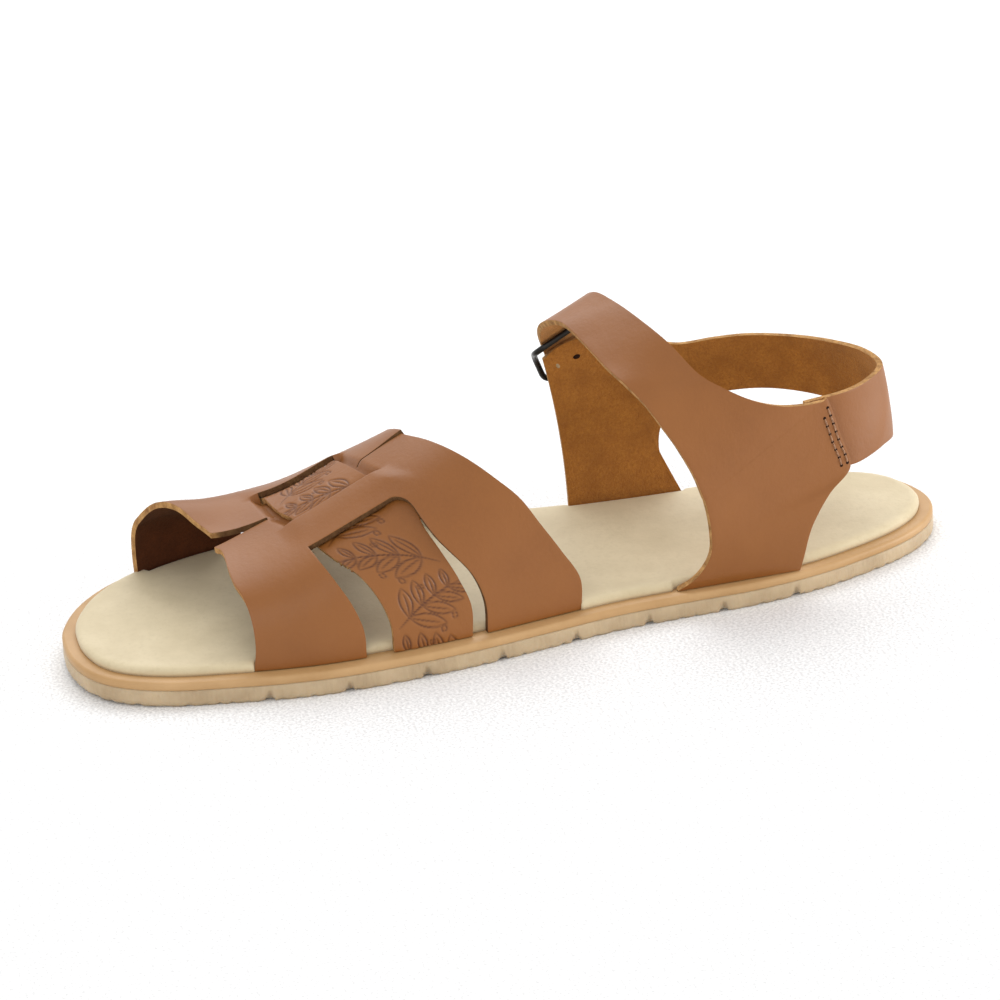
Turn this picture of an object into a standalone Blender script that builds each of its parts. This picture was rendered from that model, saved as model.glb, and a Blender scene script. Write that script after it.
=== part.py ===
import bpy
import numpy as np

for old in list(bpy.data.objects):
    bpy.data.objects.remove(old, do_unlink=True)
SANDAL = bpy.data.collections.new("sandal")
bpy.context.scene.collection.children.link(SANDAL)

# driving sizes, in metres
SOLE_LENGTH = 0.258
BALL_WIDTH = 0.102
INSTEP_RISE = 0.083
LEATHER = 0.0017
OUTSOLE = 0.0045
MIDSOLE = 0.0024
INSOLE = 0.0025
GAP = 0.0003
LEDGE = 0.0040
LEG_INSET = 0.0044
QUARTER_INSET = 0.0027
GROOVE_DEPTH = 0.0010
GROOVE_WIDTH = 0.0032
GROOVE_STEP = 0.022
TOE_SPRING = 0.0012
SLOT_GAP = 0.0010
INNER_LIP = 0.0058
OUTER_LIP = 0.0022
SLIT_HALF = 0.0002
BRIDGE_LIFT = 0.0012
NECK_CLEAR = 0.0005
NECK_TURN = 0.08
WEAVE_LEAD = 0.0009
WEAVE_RUN = 0.0029
LIFT_RUN = 0.0065
WINDOW_CORNER = 0.0040
WINDOW_RISE = 0.065
HUMP = 0.0052
SLIT_STEP = 0.0008
REAR_LIFT = 0.0013
FRONT_BOW = 0.0012
HEEL_BULGE = 0.0016
HEEL_CENTRE = 0.45
NOTCH_RAMP = 0.0026
BUCKLE_WIRE = 0.0009
BUCKLE_BULGE = 0.0032
BUCKLE_PLAY = 0.0019
PRONG_WIRE = 0.0008
HINGE_AT = 17.36
BAR_AT = 18.85
WINDOW_TOP = 0.42
SLOTS = (0.18, -0.22)
CROWN_GIRTH = 0.062
TOE_TREAD = -0.66
HUMP_END = -0.42
HUMP_RUN = 0.30
HUMP_GIRTH = 0.60
LIP_GIRTH = 0.15
REAR_START = -0.30
REAR_RUN = 0.12
BOW_COLUMNS = 0.2
WINDOW_REACH = 0.2
BULGE_KNOTS = (9.0, 14.6)
BULGE_RUNS = (2.5, 2.0)
NOTCH_RAMPS = 2.5
NOTCH_PLAY = 0.025
SOLE_CORNER = 0.0008
BEND_RADIUS = 0.0035
TAN = (0.58, 0.38, 0.19)
GUM = (0.47, 0.35, 0.24)
CREAM = (0.70, 0.60, 0.41)
BROWN = (0.33, 0.14, 0.065)
DARK_BROWN = (0.31, 0.13, 0.06)
BLACK = (0.02, 0.02, 0.02)

HALF_LENGTH = SOLE_LENGTH / 2
HALF_WIDTH = BALL_WIDTH / 2
MID_BOTTOM = OUTSOLE + GAP
MID_TOP = MID_BOTTOM + MIDSOLE
FOOT = MID_TOP + GAP
INSOLE_TOP = FOOT + INSOLE

# outline of the sole, right shoe: along is towards the heel, across towards the inner side
OUTLINE = [
    # along, across
    (-1.000, 0.275), (-0.989, 0.490), (-0.957, 0.686), (-0.899, 0.829), (-0.806, 0.933),
    (-0.682, 0.996), (-0.558, 1.047), (-0.434, 1.063), (-0.279, 1.031), (-0.124, 0.969), (0.031, 0.878),
    (0.186, 0.788), (0.341, 0.745), (0.496, 0.714), (0.651, 0.627), (0.791, 0.480), (0.891, 0.333),
    (0.961, 0.157), (0.997, -0.059), (0.992, -0.275), (0.950, -0.490), (0.868, -0.633), (0.729, -0.706),
    (0.543, -0.731), (0.341, -0.725), (0.140, -0.745), (-0.078, -0.843), (-0.279, -0.931),
    (-0.450, -0.933), (-0.620, -0.847), (-0.760, -0.706), (-0.868, -0.510), (-0.946, -0.255),
    (-0.992, 0.039),
]

# arch over the forefoot: crown height as a share of the instep rise, and how square each half is
ARCH = [
    # along, crown, inner squareness, outer squareness
    (-0.868, 0.368, 4.0, 4.0), (-0.760, 0.384, 4.0, 4.0), (-0.643, 0.380, 3.5, 3.4),
    (-0.512, 0.434, 3.2, 2.6), (-0.349, 0.560, 2.9, 1.95), (-0.233, 0.657, 2.6, 1.7),
    (-0.078, 0.759, 2.4, 1.7), (0.155, 0.892, 2.3, 1.8),
]
CROWN_ACROSS = 0.157

# edges of the forefoot leather and the middle strap: girth is 1 at the inner foot and -1 at the outer
GIRTH = (1.0, 0.88, 0.76, 0.64, 0.52, 0.42, 0.18, 0.0, -0.22, -0.42, -0.55, -0.70, -0.85, -1.0)
EDGES = {
    # along, as shares of half the sole length
    "front": (
        -0.620, -0.613, -0.614, -0.622, -0.636, -0.640, -0.641, -0.653, -0.700, -0.762, -0.787, -0.804,
        -0.808, -0.807,
    ),
    "window_front": (
        -0.380, -0.381, -0.400, -0.429, -0.455, -0.470, -0.509, -0.528, -0.550, -0.575, -0.575, -0.566,
        -0.556, -0.550,
    ),
    "window_rear": (
        -0.109, -0.109, -0.132, -0.180, -0.229, -0.258, -0.296, -0.328, -0.345, -0.345, -0.335, -0.318,
        -0.300, -0.287,
    ),
    "rear": (
        0.109, 0.110, 0.072, 0.030, -0.012, -0.062, -0.170, -0.220, -0.232, -0.202, -0.178, -0.140,
        -0.100, -0.062,
    ),
    "strap_front": (
        -0.319, -0.320, -0.341, -0.377, -0.425, -0.450, -0.475, -0.503, -0.524, -0.545, -0.541, -0.525,
        -0.506, -0.496,
    ),
    "strap_rear": (
        -0.144, -0.140, -0.162, -0.193, -0.224, -0.238, -0.312, -0.340, -0.364, -0.380, -0.376, -0.356,
        -0.336, -0.326,
    ),
}

# height of the middle strap over the arch, in leather thicknesses, by girth beyond the slots
STRAP_BEYOND = (-0.18, -0.10, -0.035, 0.012, 0.12, 0.24, 0.42, 0.60, 0.74, 0.80)
STRAP_HEIGHT = (0.45, 0.40, 0.10, -0.54, -1.15, -1.38, -1.30, -0.8, -0.2, 0.0)

# inner quarter with the ankle strap: two edges from the foot over the instep to the tail
QUARTER_LOWER = [
    # across, along, height
    (0.690, 0.329, None), (0.712, 0.366, 0.130), (0.728, 0.393, 0.185), (0.742, 0.404, 0.240),
    (0.750, 0.404, 0.310), (0.758, 0.400, 0.365), (0.764, 0.393, 0.420), (0.764, 0.389, 0.437),
    (0.760, 0.371, 0.520), (0.735, 0.340, 0.620), (0.700, 0.313, 0.690), (0.647, 0.281, 0.769),
    (0.549, 0.245, 0.834), (0.392, 0.218, 0.868), (0.176, 0.192, 0.908), (-0.078, 0.165, 0.934), (-0.330, 0.143, 0.885),
    (-0.580, 0.149, 0.790), (-0.755, 0.176, 0.665), (-0.815, 0.205, 0.535), (-0.815, 0.240, 0.400),
]
QUARTER_UPPER = [
    # across, along, height
    (0.640, 0.610, None), (0.655, 0.618, 0.140), (0.655, 0.640, 0.250), (0.620, 0.685, 0.350),
    (0.545, 0.742, 0.420), (0.540, 0.724, 0.535), (0.545, 0.698, 0.670), (0.551, 0.688, 0.671),
    (0.590, 0.640, 0.676),
    (0.630, 0.580, 0.695), (0.648, 0.520, 0.732), (0.636, 0.455, 0.790), (0.598, 0.405, 0.845),
    (0.450, 0.358, 0.930), (0.235, 0.316, 0.978), (0.000, 0.282, 1.000), (-0.235, 0.256, 0.992),
    (-0.545, 0.252, 0.893), (-0.775, 0.285, 0.735), (-0.815, 0.322, 0.590), (-0.815, 0.357, 0.455),
]

# outer quarter with the heel strap: two edges from the front of the quarter round the heel to the seam
HEEL_LOWER = [
    # across, along, height
    (-0.676, 0.202, None), (-0.681, 0.295, None), (-0.681, 0.390, None), (-0.676, 0.468, None),
    (-0.676, 0.436, 0.190), (-0.682, 0.420, 0.290), (-0.684, 0.438, 0.390), (-0.680, 0.500, 0.445),
    (-0.662, 0.590, 0.469), (-0.600, 0.690, 0.471), (-0.441, 0.790, 0.456), (-0.196, 0.864, 0.435),
    (0.078, 0.893, 0.408), (0.294, 0.845, 0.416), (0.431, 0.774, 0.403), (0.480, 0.716, 0.407),
    (0.515, 0.640, 0.415),
]
HEEL_UPPER = [
    # across, along, height
    (-0.680, 0.164, 0.672), (-0.680, 0.190, 0.704), (-0.682, 0.225, 0.727), (-0.686, 0.270, 0.738),
    (-0.688, 0.315, 0.738), (-0.688, 0.360, 0.722), (-0.684, 0.415, 0.692), (-0.674, 0.480, 0.665),
    (-0.655, 0.560, 0.673), (-0.622, 0.640, 0.677), (-0.529, 0.735, 0.672), (-0.353, 0.807, 0.675),
    (-0.137, 0.858, 0.678), (0.098, 0.872, 0.672), (0.294, 0.822, 0.668), (0.431, 0.752, 0.667),
    (0.515, 0.650, 0.667),
]


def smooth(points, count):
    """Points along the curve that passes smoothly through the given points, ends included."""
    points = np.asarray(points, float)
    where = np.linspace(0, len(points) - 1, count)
    return spline(where, np.arange(len(points)), points)


def spline(x, knots, values):
    """Cubic Hermite curve through the values at the knots, with slopes from the neighbours."""
    knots = np.asarray(knots, float)
    values = np.asarray(values, float)
    slopes = np.gradient(values, knots, axis=0)
    x = np.clip(x, knots[0], knots[-1])
    i = np.clip(np.searchsorted(knots, x, side="right") - 1, 0, len(knots) - 2)
    h = knots[i + 1] - knots[i]
    t = (x - knots[i]) / h
    if values.ndim > 1:
        h, t = h[:, None], t[:, None]
    start = (2 * t**3 - 3 * t**2 + 1) * values[i] + (t**3 - 2 * t**2 + t) * h * slopes[i]
    return start + (3 * t**2 - 2 * t**3) * values[i + 1] + (t**3 - t**2) * h * slopes[i + 1]


def step(x):
    """0 below 0, 1 above 1, and a smooth ramp between."""
    x = np.clip(x, 0, 1)
    return x * x * (3 - 2 * x)


def spring(y):
    """How far the toe lifts off the ground at each place along the sole."""
    toe = np.clip((TOE_TREAD * HALF_LENGTH - y) / ((1 + TOE_TREAD) * HALF_LENGTH), 0, None)
    return TOE_SPRING * toe**2


def outline():
    loop = np.array(OUTLINE) * (HALF_LENGTH, HALF_WIDTH)
    wrapped = np.vstack([loop[-3:], loop, loop[:3]])
    return smooth(wrapped, 16 * (len(wrapped) - 1) + 1)[48 : 48 + 16 * len(loop)]


LOOP = outline()
TANGENT = np.roll(LOOP, -1, 0) - np.roll(LOOP, 1, 0)
INWARD = np.stack([TANGENT[:, 1], -TANGENT[:, 0]], 1) / np.linalg.norm(TANGENT, axis=1)[:, None]
INWARD = -INWARD if ((LOOP * INWARD).sum(1) > 0).mean() > 0.5 else INWARD


def sides(inset):
    """The inner and the outer half of the outline, moved inwards, each sorted from toe to heel."""
    loop = LOOP + INWARD * (np.zeros(len(LOOP)) + inset)[:, None]
    toe, heel = loop[:, 0].argmin(), loop[:, 0].argmax()
    inner = loop[toe : heel + 1] if toe < heel else np.vstack([loop[toe:], loop[: heel + 1]])
    outer = loop[heel : toe + 1] if heel < toe else np.vstack([loop[heel:], loop[: toe + 1]])
    return inner[np.argsort(inner[:, 0])], outer[np.argsort(outer[:, 0])]


def across_at(y, inner, inset):
    """Where the inner or the outer side of the outline lies across, at each place along."""
    half = sides(inset)[0 if inner else 1]
    return np.interp(y, half[:, 0], half[:, 1])


def solid(name, points, faces, colour, rough):
    mesh = bpy.data.meshes.new(name)
    mesh.from_pydata([tuple(p) for p in points], [], faces)
    mesh.shade_smooth()
    mesh.set_sharp_from_angle(angle=0.7)
    obj = bpy.data.objects.new(name, mesh)
    SANDAL.objects.link(obj)
    paint(obj, colour, rough)
    return obj


def paint(obj, colour, rough):
    material = bpy.data.materials.new(obj.name)
    material.use_nodes = True
    shader = material.node_tree.nodes["Principled BSDF"]
    shader.inputs["Base Color"].default_value = (*colour, 1)
    shader.inputs["Roughness"].default_value = rough
    obj.data.materials.append(material)


def slab(name, levels, rows, columns, under, colour, rough):
    """A closed layer: levels are (inset, height) from its lower to its upper edge, rows its stations."""
    rings = []
    grids = []
    for inset, height in levels:
        inner, outer = sides(inset)
        y = inner[0, 0] + rows * (inner[-1, 0] - inner[0, 0])
        right = np.interp(y, inner[:, 0], inner[:, 1])
        left = np.interp(y, outer[:, 0], outer[:, 1])
        share = np.linspace(0, 1, columns)[None, :]
        x = right[:, None] * (1 - share) + left[:, None] * share
        grids.append(np.stack([x, y[:, None] + 0 * x, height + 0 * x], -1))
    points = []
    lowest, highest = grids[0].copy(), grids[-1].copy()
    lowest[..., 2] += under(lowest[..., 1])
    lowest[..., 2] += spring(lowest[..., 1])
    highest[..., 2] += spring(highest[..., 1])
    last = len(rows) - 1

    def ring_of(grid):
        return np.vstack([grid[:, 0], grid[::-1, -1][1:-1]])

    def add(array):
        start = sum(len(p) for p in points)
        points.append(array)
        return start

    def cap(grid):
        """Indices of a grid whose first and last rows have shrunk to one point each."""
        index = np.zeros(grid.shape[:2], int)
        index[0, :] = add(grid[0, :1])
        inside = add(grid[1:last].reshape(-1, 3)) + np.arange((last - 1) * columns)
        index[1:last] = inside.reshape(-1, columns)
        index[last, :] = add(grid[last, :1])
        return index

    bottom, top = cap(lowest), cap(highest)
    rings.append(np.concatenate([bottom[:, 0], bottom[::-1, -1][1:-1]]))
    for grid in grids[1:-1]:
        ring = ring_of(grid)
        ring[:, 2] += spring(ring[:, 1])
        rings.append(add(ring) + np.arange(len(ring)))
    rings.append(np.concatenate([top[:, 0], top[::-1, -1][1:-1]]))
    faces = []
    for index, turn in ((bottom, 1), (top, -1)):
        for j in range(last):
            for k in range(columns - 1):
                corners = [index[j, k], index[j, k + 1], index[j + 1, k + 1], index[j + 1, k]]
                corners = list(dict.fromkeys(int(c) for c in corners))
                faces.append(corners[::turn])
    for low, high in zip(rings, rings[1:]):
        n = len(low)
        for j in range(n):
            k = (j + 1) % n
            faces.append([int(low[j]), int(low[k]), int(high[k]), int(high[j])])
    return solid(name, np.vstack(points), faces, colour, rough)


def hump(girth, along):
    """The outer side stands up in a hump at its toe edge, and in a lip beside each slit."""
    forward = step((HUMP_END - along) / HUMP_RUN)
    rearward = step((along - REAR_START) / REAR_RUN)
    swell = HUMP * np.sin(np.pi * np.clip(-girth / HUMP_GIRTH, 0, 1)) ** 2
    lip = np.exp(-((girth / LIP_GIRTH) ** 2))
    outer = forward * (swell + SLIT_STEP * lip) + rearward * REAR_LIFT * lip
    return np.where(girth < 0, outer, -forward * SLIT_STEP * lip)


def arch_point(girth, y, inset):
    """Point of the forefoot arch: each half is a superellipse from crown to foot, divided by arc length."""
    girth, y = np.broadcast_arrays(np.asarray(girth, float), np.asarray(y, float))
    shape = girth.shape
    girth, y = girth.ravel(), y.ravel()
    table = np.array(ARCH)
    along = y / HALF_LENGTH
    crown = spline(along, table[:, 0], table[:, 1]) * INSTEP_RISE
    inner = spline(along, table[:, 0], table[:, 2])
    outer = spline(along, table[:, 0], table[:, 3])
    power = 2 / np.where(girth > 0, inner, outer)[:, None]
    foot = np.where(girth > 0, across_at(y, True, inset), across_at(y, False, inset))
    middle = CROWN_ACROSS * HALF_WIDTH
    angle = np.linspace(0, np.pi / 2, 97)[None, :]
    reach = np.abs(foot - middle)[:, None] * np.sin(angle) ** power
    rise = (crown - FOOT)[:, None] * np.clip(np.cos(angle), 0, 1) ** power
    run = np.hypot(np.diff(reach, axis=1), np.diff(rise, axis=1)).cumsum(1)
    run = np.hstack([np.zeros((len(y), 1)), run])
    want = np.abs(girth) * run[:, -1]
    i = np.clip((run < want[:, None]).sum(1) - 1, 0, 95)
    row = np.arange(len(y))
    part = (want - run[row, i]) / np.maximum(run[row, i + 1] - run[row, i], 1e-12)
    x = middle + np.where(girth > 0, 1, -1) * (reach[row, i] * (1 - part) + reach[row, i + 1] * part)
    z = FOOT + rise[row, i] * (1 - part) + rise[row, i + 1] * part + spring(y) + hump(girth, along)
    return np.stack([x, y, z], -1).reshape(shape + (3,))


def normals(grid, outwards, passes=0):
    """Unit normals of a grid, turned the way that outwards says, then averaged with their neighbours."""
    du = np.gradient(grid, axis=1)
    dv = np.gradient(grid, axis=0)
    normal = outwards * np.cross(du, dv)
    for _ in range(passes):
        wide = np.pad(normal, ((1, 1), (1, 1), (0, 0)), mode="edge")
        normal = 2 * normal + wide[:-2, 1:-1] + wide[2:, 1:-1] + wide[1:-1, :-2] + wide[1:-1, 2:]
    return normal / np.linalg.norm(normal, axis=-1)[..., None]


def sheet(name, outer, inner, keep, colour, rough):
    """A closed leather wall between two grids, left out where keep is False."""
    rows, columns = outer.shape[:2]
    index = -np.ones((2, rows, columns), int)
    used = np.zeros((rows, columns), bool)
    for dj in (0, 1):
        for dk in (0, 1):
            used[dj : rows - 1 + dj, dk : columns - 1 + dk] |= keep
    count = int(used.sum())
    index[0][used] = np.arange(count)
    index[1][used] = np.arange(count) + count
    points = np.vstack([outer[used], inner[used]])
    faces = []
    for j in range(rows - 1):
        for k in range(columns - 1):
            if not keep[j, k]:
                continue
            loop = [(j, k), (j, k + 1), (j + 1, k + 1), (j + 1, k)]
            faces.append([int(index[0][c]) for c in loop])
            faces.append([int(index[1][c]) for c in loop[::-1]])
            beyond = [(j - 1, k), (j, k + 1), (j + 1, k), (j, k - 1)]
            for side, (a, b) in enumerate(zip(loop, loop[1:] + loop[:1])):
                nj, nk = beyond[side]
                if 0 <= nj < rows - 1 and 0 <= nk < columns - 1 and keep[nj, nk]:
                    continue
                faces.append([int(index[0][b]), int(index[0][a]), int(index[1][a]), int(index[1][b])])
    a, b, c = points[faces[0][:3]]
    thickness = a - points[faces[0][0] + count]
    if np.dot(np.cross(b - a, c - a), thickness) < 0:
        faces = [face[::-1] for face in faces]
    return solid(name, points, faces, colour, rough)


def edge_at(name, girth):
    """How far along the sole the named edge lies, at each girth."""
    return HALF_LENGTH * spline(girth, np.array(GIRTH)[::-1], np.array(EDGES[name])[::-1])


def strap_height(girth):
    """How far the outer face of the middle strap lies over the arch: up at the crown, under the bridges."""
    beyond = np.abs(girth) - np.where(girth > 0, SLOTS[0], -SLOTS[1])
    return LEATHER * spline(beyond.ravel(), STRAP_BEYOND, STRAP_HEIGHT).reshape(girth.shape)


def weave(girth, y):
    """How far the forefoot leather leaves the arch: up at the bridges, down under the middle strap."""
    ahead, behind = y - edge_at("strap_front", girth), edge_at("strap_rear", girth) - y
    dip = step((ahead + WEAVE_LEAD) / WEAVE_RUN + 1) * step((behind + WEAVE_LEAD) / WEAVE_RUN + 1)
    lift = step(ahead / LIFT_RUN + 1) * step(behind / LIFT_RUN + 1)
    side = np.where(girth > 0, girth / SLOTS[0], girth / SLOTS[1])
    neck = step((1.0 - side) / NECK_TURN + 0.5)
    fade = step((WINDOW_TOP - np.abs(girth)) / (WINDOW_TOP - SLOTS[0]))
    drop = NECK_CLEAR + LEATHER - strap_height(girth)
    return BRIDGE_LIFT * lift * fade * (1 - neck) - dip * drop * neck


def rounded(below, ahead, radius):
    """How far points beside a window corner move to round it: down from its top, forward from its rear."""
    near_top, near_rear = np.clip(below, 0, radius), np.clip(ahead, 0, radius)
    on_top = near_rear > near_top
    turn = np.pi / 4 * (1 - np.maximum(near_top, near_rear) / radius)
    short, long = radius * (1 - np.cos(turn)), radius * (1 - np.sin(turn))
    down = np.where(on_top, short, long - near_top)
    forward = np.where(on_top, long - near_rear, short)
    away = np.maximum(np.clip(-below, 0, None), np.clip(-ahead, 0, None))
    fade = step(1 - away / (2 * radius))
    return down * fade, forward * fade


def build_forefoot():
    """The forefoot leather: rows from toe to instep, columns from the inner foot over the crown."""
    gap = 0.5 * SLOT_GAP / CROWN_GIRTH
    inner = [1.0, 0.94, 0.88, 0.8, 0.72, 0.64, 0.57, 0.49, 0.455, WINDOW_TOP, 0.34, 0.26]
    inner += [SLOTS[0] + gap, SLOTS[0] - gap, 0.09]
    outer = [-0.11, SLOTS[1] + gap, SLOTS[1] - gap, -0.3, -0.36, -WINDOW_TOP]
    outer += [-0.5, -0.58, -0.66, -0.74, -0.82, -0.91, -1.0]
    columns = np.array(inner + [0.0, 0.0] + outer)
    slit = len(inner)
    even = tuple(np.arange(6) / 6)
    slot_rows = (0, 0.10, 0.18, 0.30, 0.44, 0.60, 0.78, 0.96)
    legs = [("front", "window_front", even), ("window_front", "window_rear", slot_rows)]
    legs += [("window_rear", "rear", even), ("rear", "rear", (0,))]
    rows = []
    for start, end, shares in legs:
        for share in shares:
            rows.append((1 - share) * edge_at(start, columns) + share * edge_at(end, columns))
    y = np.array(rows)
    j = np.arange(len(y))[:, None]
    first, second = len(even), len(even) + len(slot_rows)
    ahead = np.clip((first - j) / first, 0, 1) ** 2
    behind = np.clip((j - second) / len(even), 0, 1)
    lip = np.where(columns > 0, INNER_LIP, OUTER_LIP)
    lip[slit] = INNER_LIP
    half = (GAP + (lip - GAP) * ahead + (SLIT_HALF - GAP) * behind) / CROWN_GIRTH
    top_front, top_rear, end = (edge_at(name, columns) for name in ("window_front", "window_rear", "rear"))
    rise = np.clip((y - top_front) / (top_rear - top_front), 0, 1) * np.clip((end - y) / (end - top_rear), 0, 1)
    rise *= WINDOW_RISE * step(1 - np.abs(np.abs(columns) - WINDOW_TOP) / WINDOW_REACH)
    below = (np.abs(columns)[None, :] - WINDOW_TOP) * CROWN_GIRTH
    down, forward = rounded(below, edge_at("window_rear", columns) - y, WINDOW_CORNER)
    away = np.where(np.arange(len(columns))[None, :] <= slit, 1, -1)
    girth = columns[None, :] + away * half * step(1 - np.abs(columns[None, :]) / 0.17)
    girth = girth + away * (down / CROWN_GIRTH - rise)
    y = y - forward
    base = arch_point(girth, y, LEG_INSET)
    normal = normals(base, -1)
    outer_face = base + normal * weave(columns[None, :] + 0 * y, y)[..., None]
    inner_face = outer_face - LEATHER * normal
    for face in (outer_face, inner_face):
        for end in (0, -1):
            face[:, end, 2] = base[:, end, 2]
    keep = np.ones((len(y) - 1, len(columns) - 1), bool)
    keep[first:second, : inner.index(WINDOW_TOP)] = False
    keep[first:second, slit + 2 + outer.index(-WINDOW_TOP) :] = False
    keep[first + 1 : second - 1, inner.index(SLOTS[0] + gap)] = False
    keep[first + 1 : second - 1, slit + 2 + outer.index(SLOTS[1] + gap)] = False
    keep[:first, slit] = False
    keep[second:, slit] = False
    return sheet("forefoot_upper", outer_face, inner_face, keep, BROWN, 0.45)


def build_middle_strap():
    """The strap over the middle of the forefoot: it follows the arch, deeper at the sides."""
    columns = np.linspace(1, -1, 45)
    share = np.linspace(0, 1, 6)[:, None]
    y = (1 - share) * edge_at("strap_front", columns) + share * edge_at("strap_rear", columns)
    base = arch_point(columns[None, :] + 0 * y, y, LEG_INSET)
    normal = normals(base, -1)
    outer_face = base + normal * strap_height(columns)[None, :, None]
    inner_face = outer_face - LEATHER * normal
    for face in (outer_face, inner_face):
        for end in (0, -1):
            face[:, end, 2] = base[:, end, 2]
    keep = np.ones((5, len(columns) - 1), bool)
    return sheet("middle_strap", outer_face, inner_face, keep, DARK_BROWN, 0.5)


def edge_points(table):
    points = [(a, b, 0 if c is None else c) for a, b, c in table]
    points = np.array(points) * (HALF_WIDTH, HALF_LENGTH, INSTEP_RISE)
    points[[c is None for a, b, c in table], 2] = FOOT
    return points


def ribbon(name, lower, upper, columns, rows, bow, bulge):
    """A leather band between two edge curves; it stands on the midsole where its lower edge has no height."""
    low = smooth(edge_points(lower), columns)
    high = smooth(edge_points(upper), columns)
    standing = len([c for a, b, c in lower if c is None]) - 1
    end = 1 + round(standing * (columns - 1) / (len(lower) - 1))
    low[:end, 2] = FOOT
    share = np.linspace(0, 1, rows)[:, None, None]
    outer_face = low[None] * (1 - share) + high[None] * share
    fade = step(1 - np.arange(columns) / (BOW_COLUMNS * (columns - 1)))[None, :]
    arc = 4 * share[..., 0] * (1 - share[..., 0])
    outer_face[..., 1] += bow * arc * fade
    at = np.linspace(0, len(lower) - 1, columns)[None, :]
    fade = step((at - BULGE_KNOTS[0]) / BULGE_RUNS[0]) * step((BULGE_KNOTS[1] - at) / BULGE_RUNS[1])
    away = outer_face[..., :2] - (0, HEEL_CENTRE * HALF_LENGTH)
    away /= np.linalg.norm(away, axis=-1)[..., None]
    outer_face[..., :2] += (bulge * arc * fade)[..., None] * away
    normal = normals(outer_face, -1, 8)
    inner_face = outer_face - LEATHER * normal
    inner_face[0, :end, 2] = FOOT
    if standing == 0:
        inner_face[:, 0, 2] = FOOT
        outer_face[:, 0, 2] = FOOT
    keep = np.ones((rows - 1, columns - 1), bool)
    sheet(name, outer_face, inner_face, keep, BROWN, 0.45)
    return outer_face, normal


def pole(name, path, radius, closed):
    curve = bpy.data.curves.new(name, "CURVE")
    curve.dimensions = "3D"
    line = curve.splines.new("POLY")
    line.points.add(len(path) - 1)
    for point, place in zip(line.points, path):
        point.co = (*place, 1)
    line.use_cyclic_u = closed
    curve.bevel_depth = radius
    curve.bevel_resolution = 2
    curve.use_fill_caps = not closed
    obj = bpy.data.objects.new(name, curve)
    SANDAL.objects.link(obj)
    paint(obj, BLACK, 0.35)
    return obj


def build_buckle(face, normal):
    """A bent wire frame: hinge bar inside the ankle strap, lower bar and prong outside it."""
    middle = face[face.shape[0] // 2]
    out = normal[face.shape[0] // 2]
    reach = (face[-1] - face[0]) / 2
    at = np.arange(len(middle)) * (len(QUARTER_LOWER) - 1) / (len(middle) - 1)

    def place(array, where):
        return np.array([np.interp(where, at, array[:, i]) for i in range(3)])

    hinge = place(middle, HINGE_AT) - place(out, HINGE_AT) * (LEATHER + GAP + BUCKLE_WIRE)
    bar = place(middle, BAR_AT) + place(out, BAR_AT) * (GAP + BUCKLE_WIRE)
    half = np.linalg.norm(place(reach, HINGE_AT)) + BUCKLE_PLAY + BUCKLE_WIRE
    over_hinge = place(reach, HINGE_AT) * half / np.linalg.norm(place(reach, HINGE_AT))
    over_bar = place(reach, BAR_AT) * half / np.linalg.norm(place(reach, BAR_AT))
    bulge = place(out, HINGE_AT + 0.35 * (BAR_AT - HINGE_AT)) * BUCKLE_BULGE
    between = 0.55 * hinge + 0.45 * bar + bulge
    front, rear = between - over_bar, between + over_bar
    corners = [hinge - over_hinge, front, bar - over_bar, bar + over_bar, rear, hinge + over_hinge]
    path = []
    for i, corner in enumerate(corners):
        before, after = corners[i - 1], corners[(i + 1) % 6]
        a = corner + (before - corner) * BEND_RADIUS / np.linalg.norm(before - corner)
        b = corner + (after - corner) * BEND_RADIUS / np.linalg.norm(after - corner)
        for t in np.linspace(0, 1, 5):
            path.append((1 - t) ** 2 * a + 2 * t * (1 - t) * corner + t**2 * b)
    pole("buckle_frame", path, BUCKLE_WIRE, True)
    lift = GAP + PRONG_WIRE
    over = 3.5 * GAP + 2 * BUCKLE_WIRE + PRONG_WIRE
    stops = [(0.28, lift), (0.5, lift + 0.0005), (0.84, over), (1.0, over), (1.14, over - 0.0004)]
    path = []
    for share, height in stops:
        where = HINGE_AT + share * (BAR_AT - HINGE_AT)
        path.append(place(middle, where) + place(out, where) * height)
    pole("buckle_prong", smooth(path, 9), PRONG_WIRE, False)


caps = (1 - np.cos(np.linspace(0, np.pi / 2, 10)[:-1])) * 0.125
groove_rows = []
groove_places = (np.arange(-4, 4) + 0.5) * GROOVE_STEP
for place_y in groove_places:
    for shift in (-0.5, -0.3, 0.3, 0.5):
        groove_rows.append(0.5 + (place_y + shift * GROOVE_WIDTH) / SOLE_LENGTH)
between = 0.5 + np.arange(-4, 5) * GROOVE_STEP / SOLE_LENGTH
STATIONS = np.unique(np.round(np.concatenate([caps, groove_rows, between, 1 - caps]), 5))


def tread(y):
    """Grooves across the tread, as a height above the ground."""
    nearest = np.abs(y[..., None] - groove_places).min(-1)
    return GROOVE_DEPTH * np.clip((0.5 * GROOVE_WIDTH - nearest) / (0.2 * GROOVE_WIDTH), 0, 1)


def flat(y):
    return 0 * y


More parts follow.
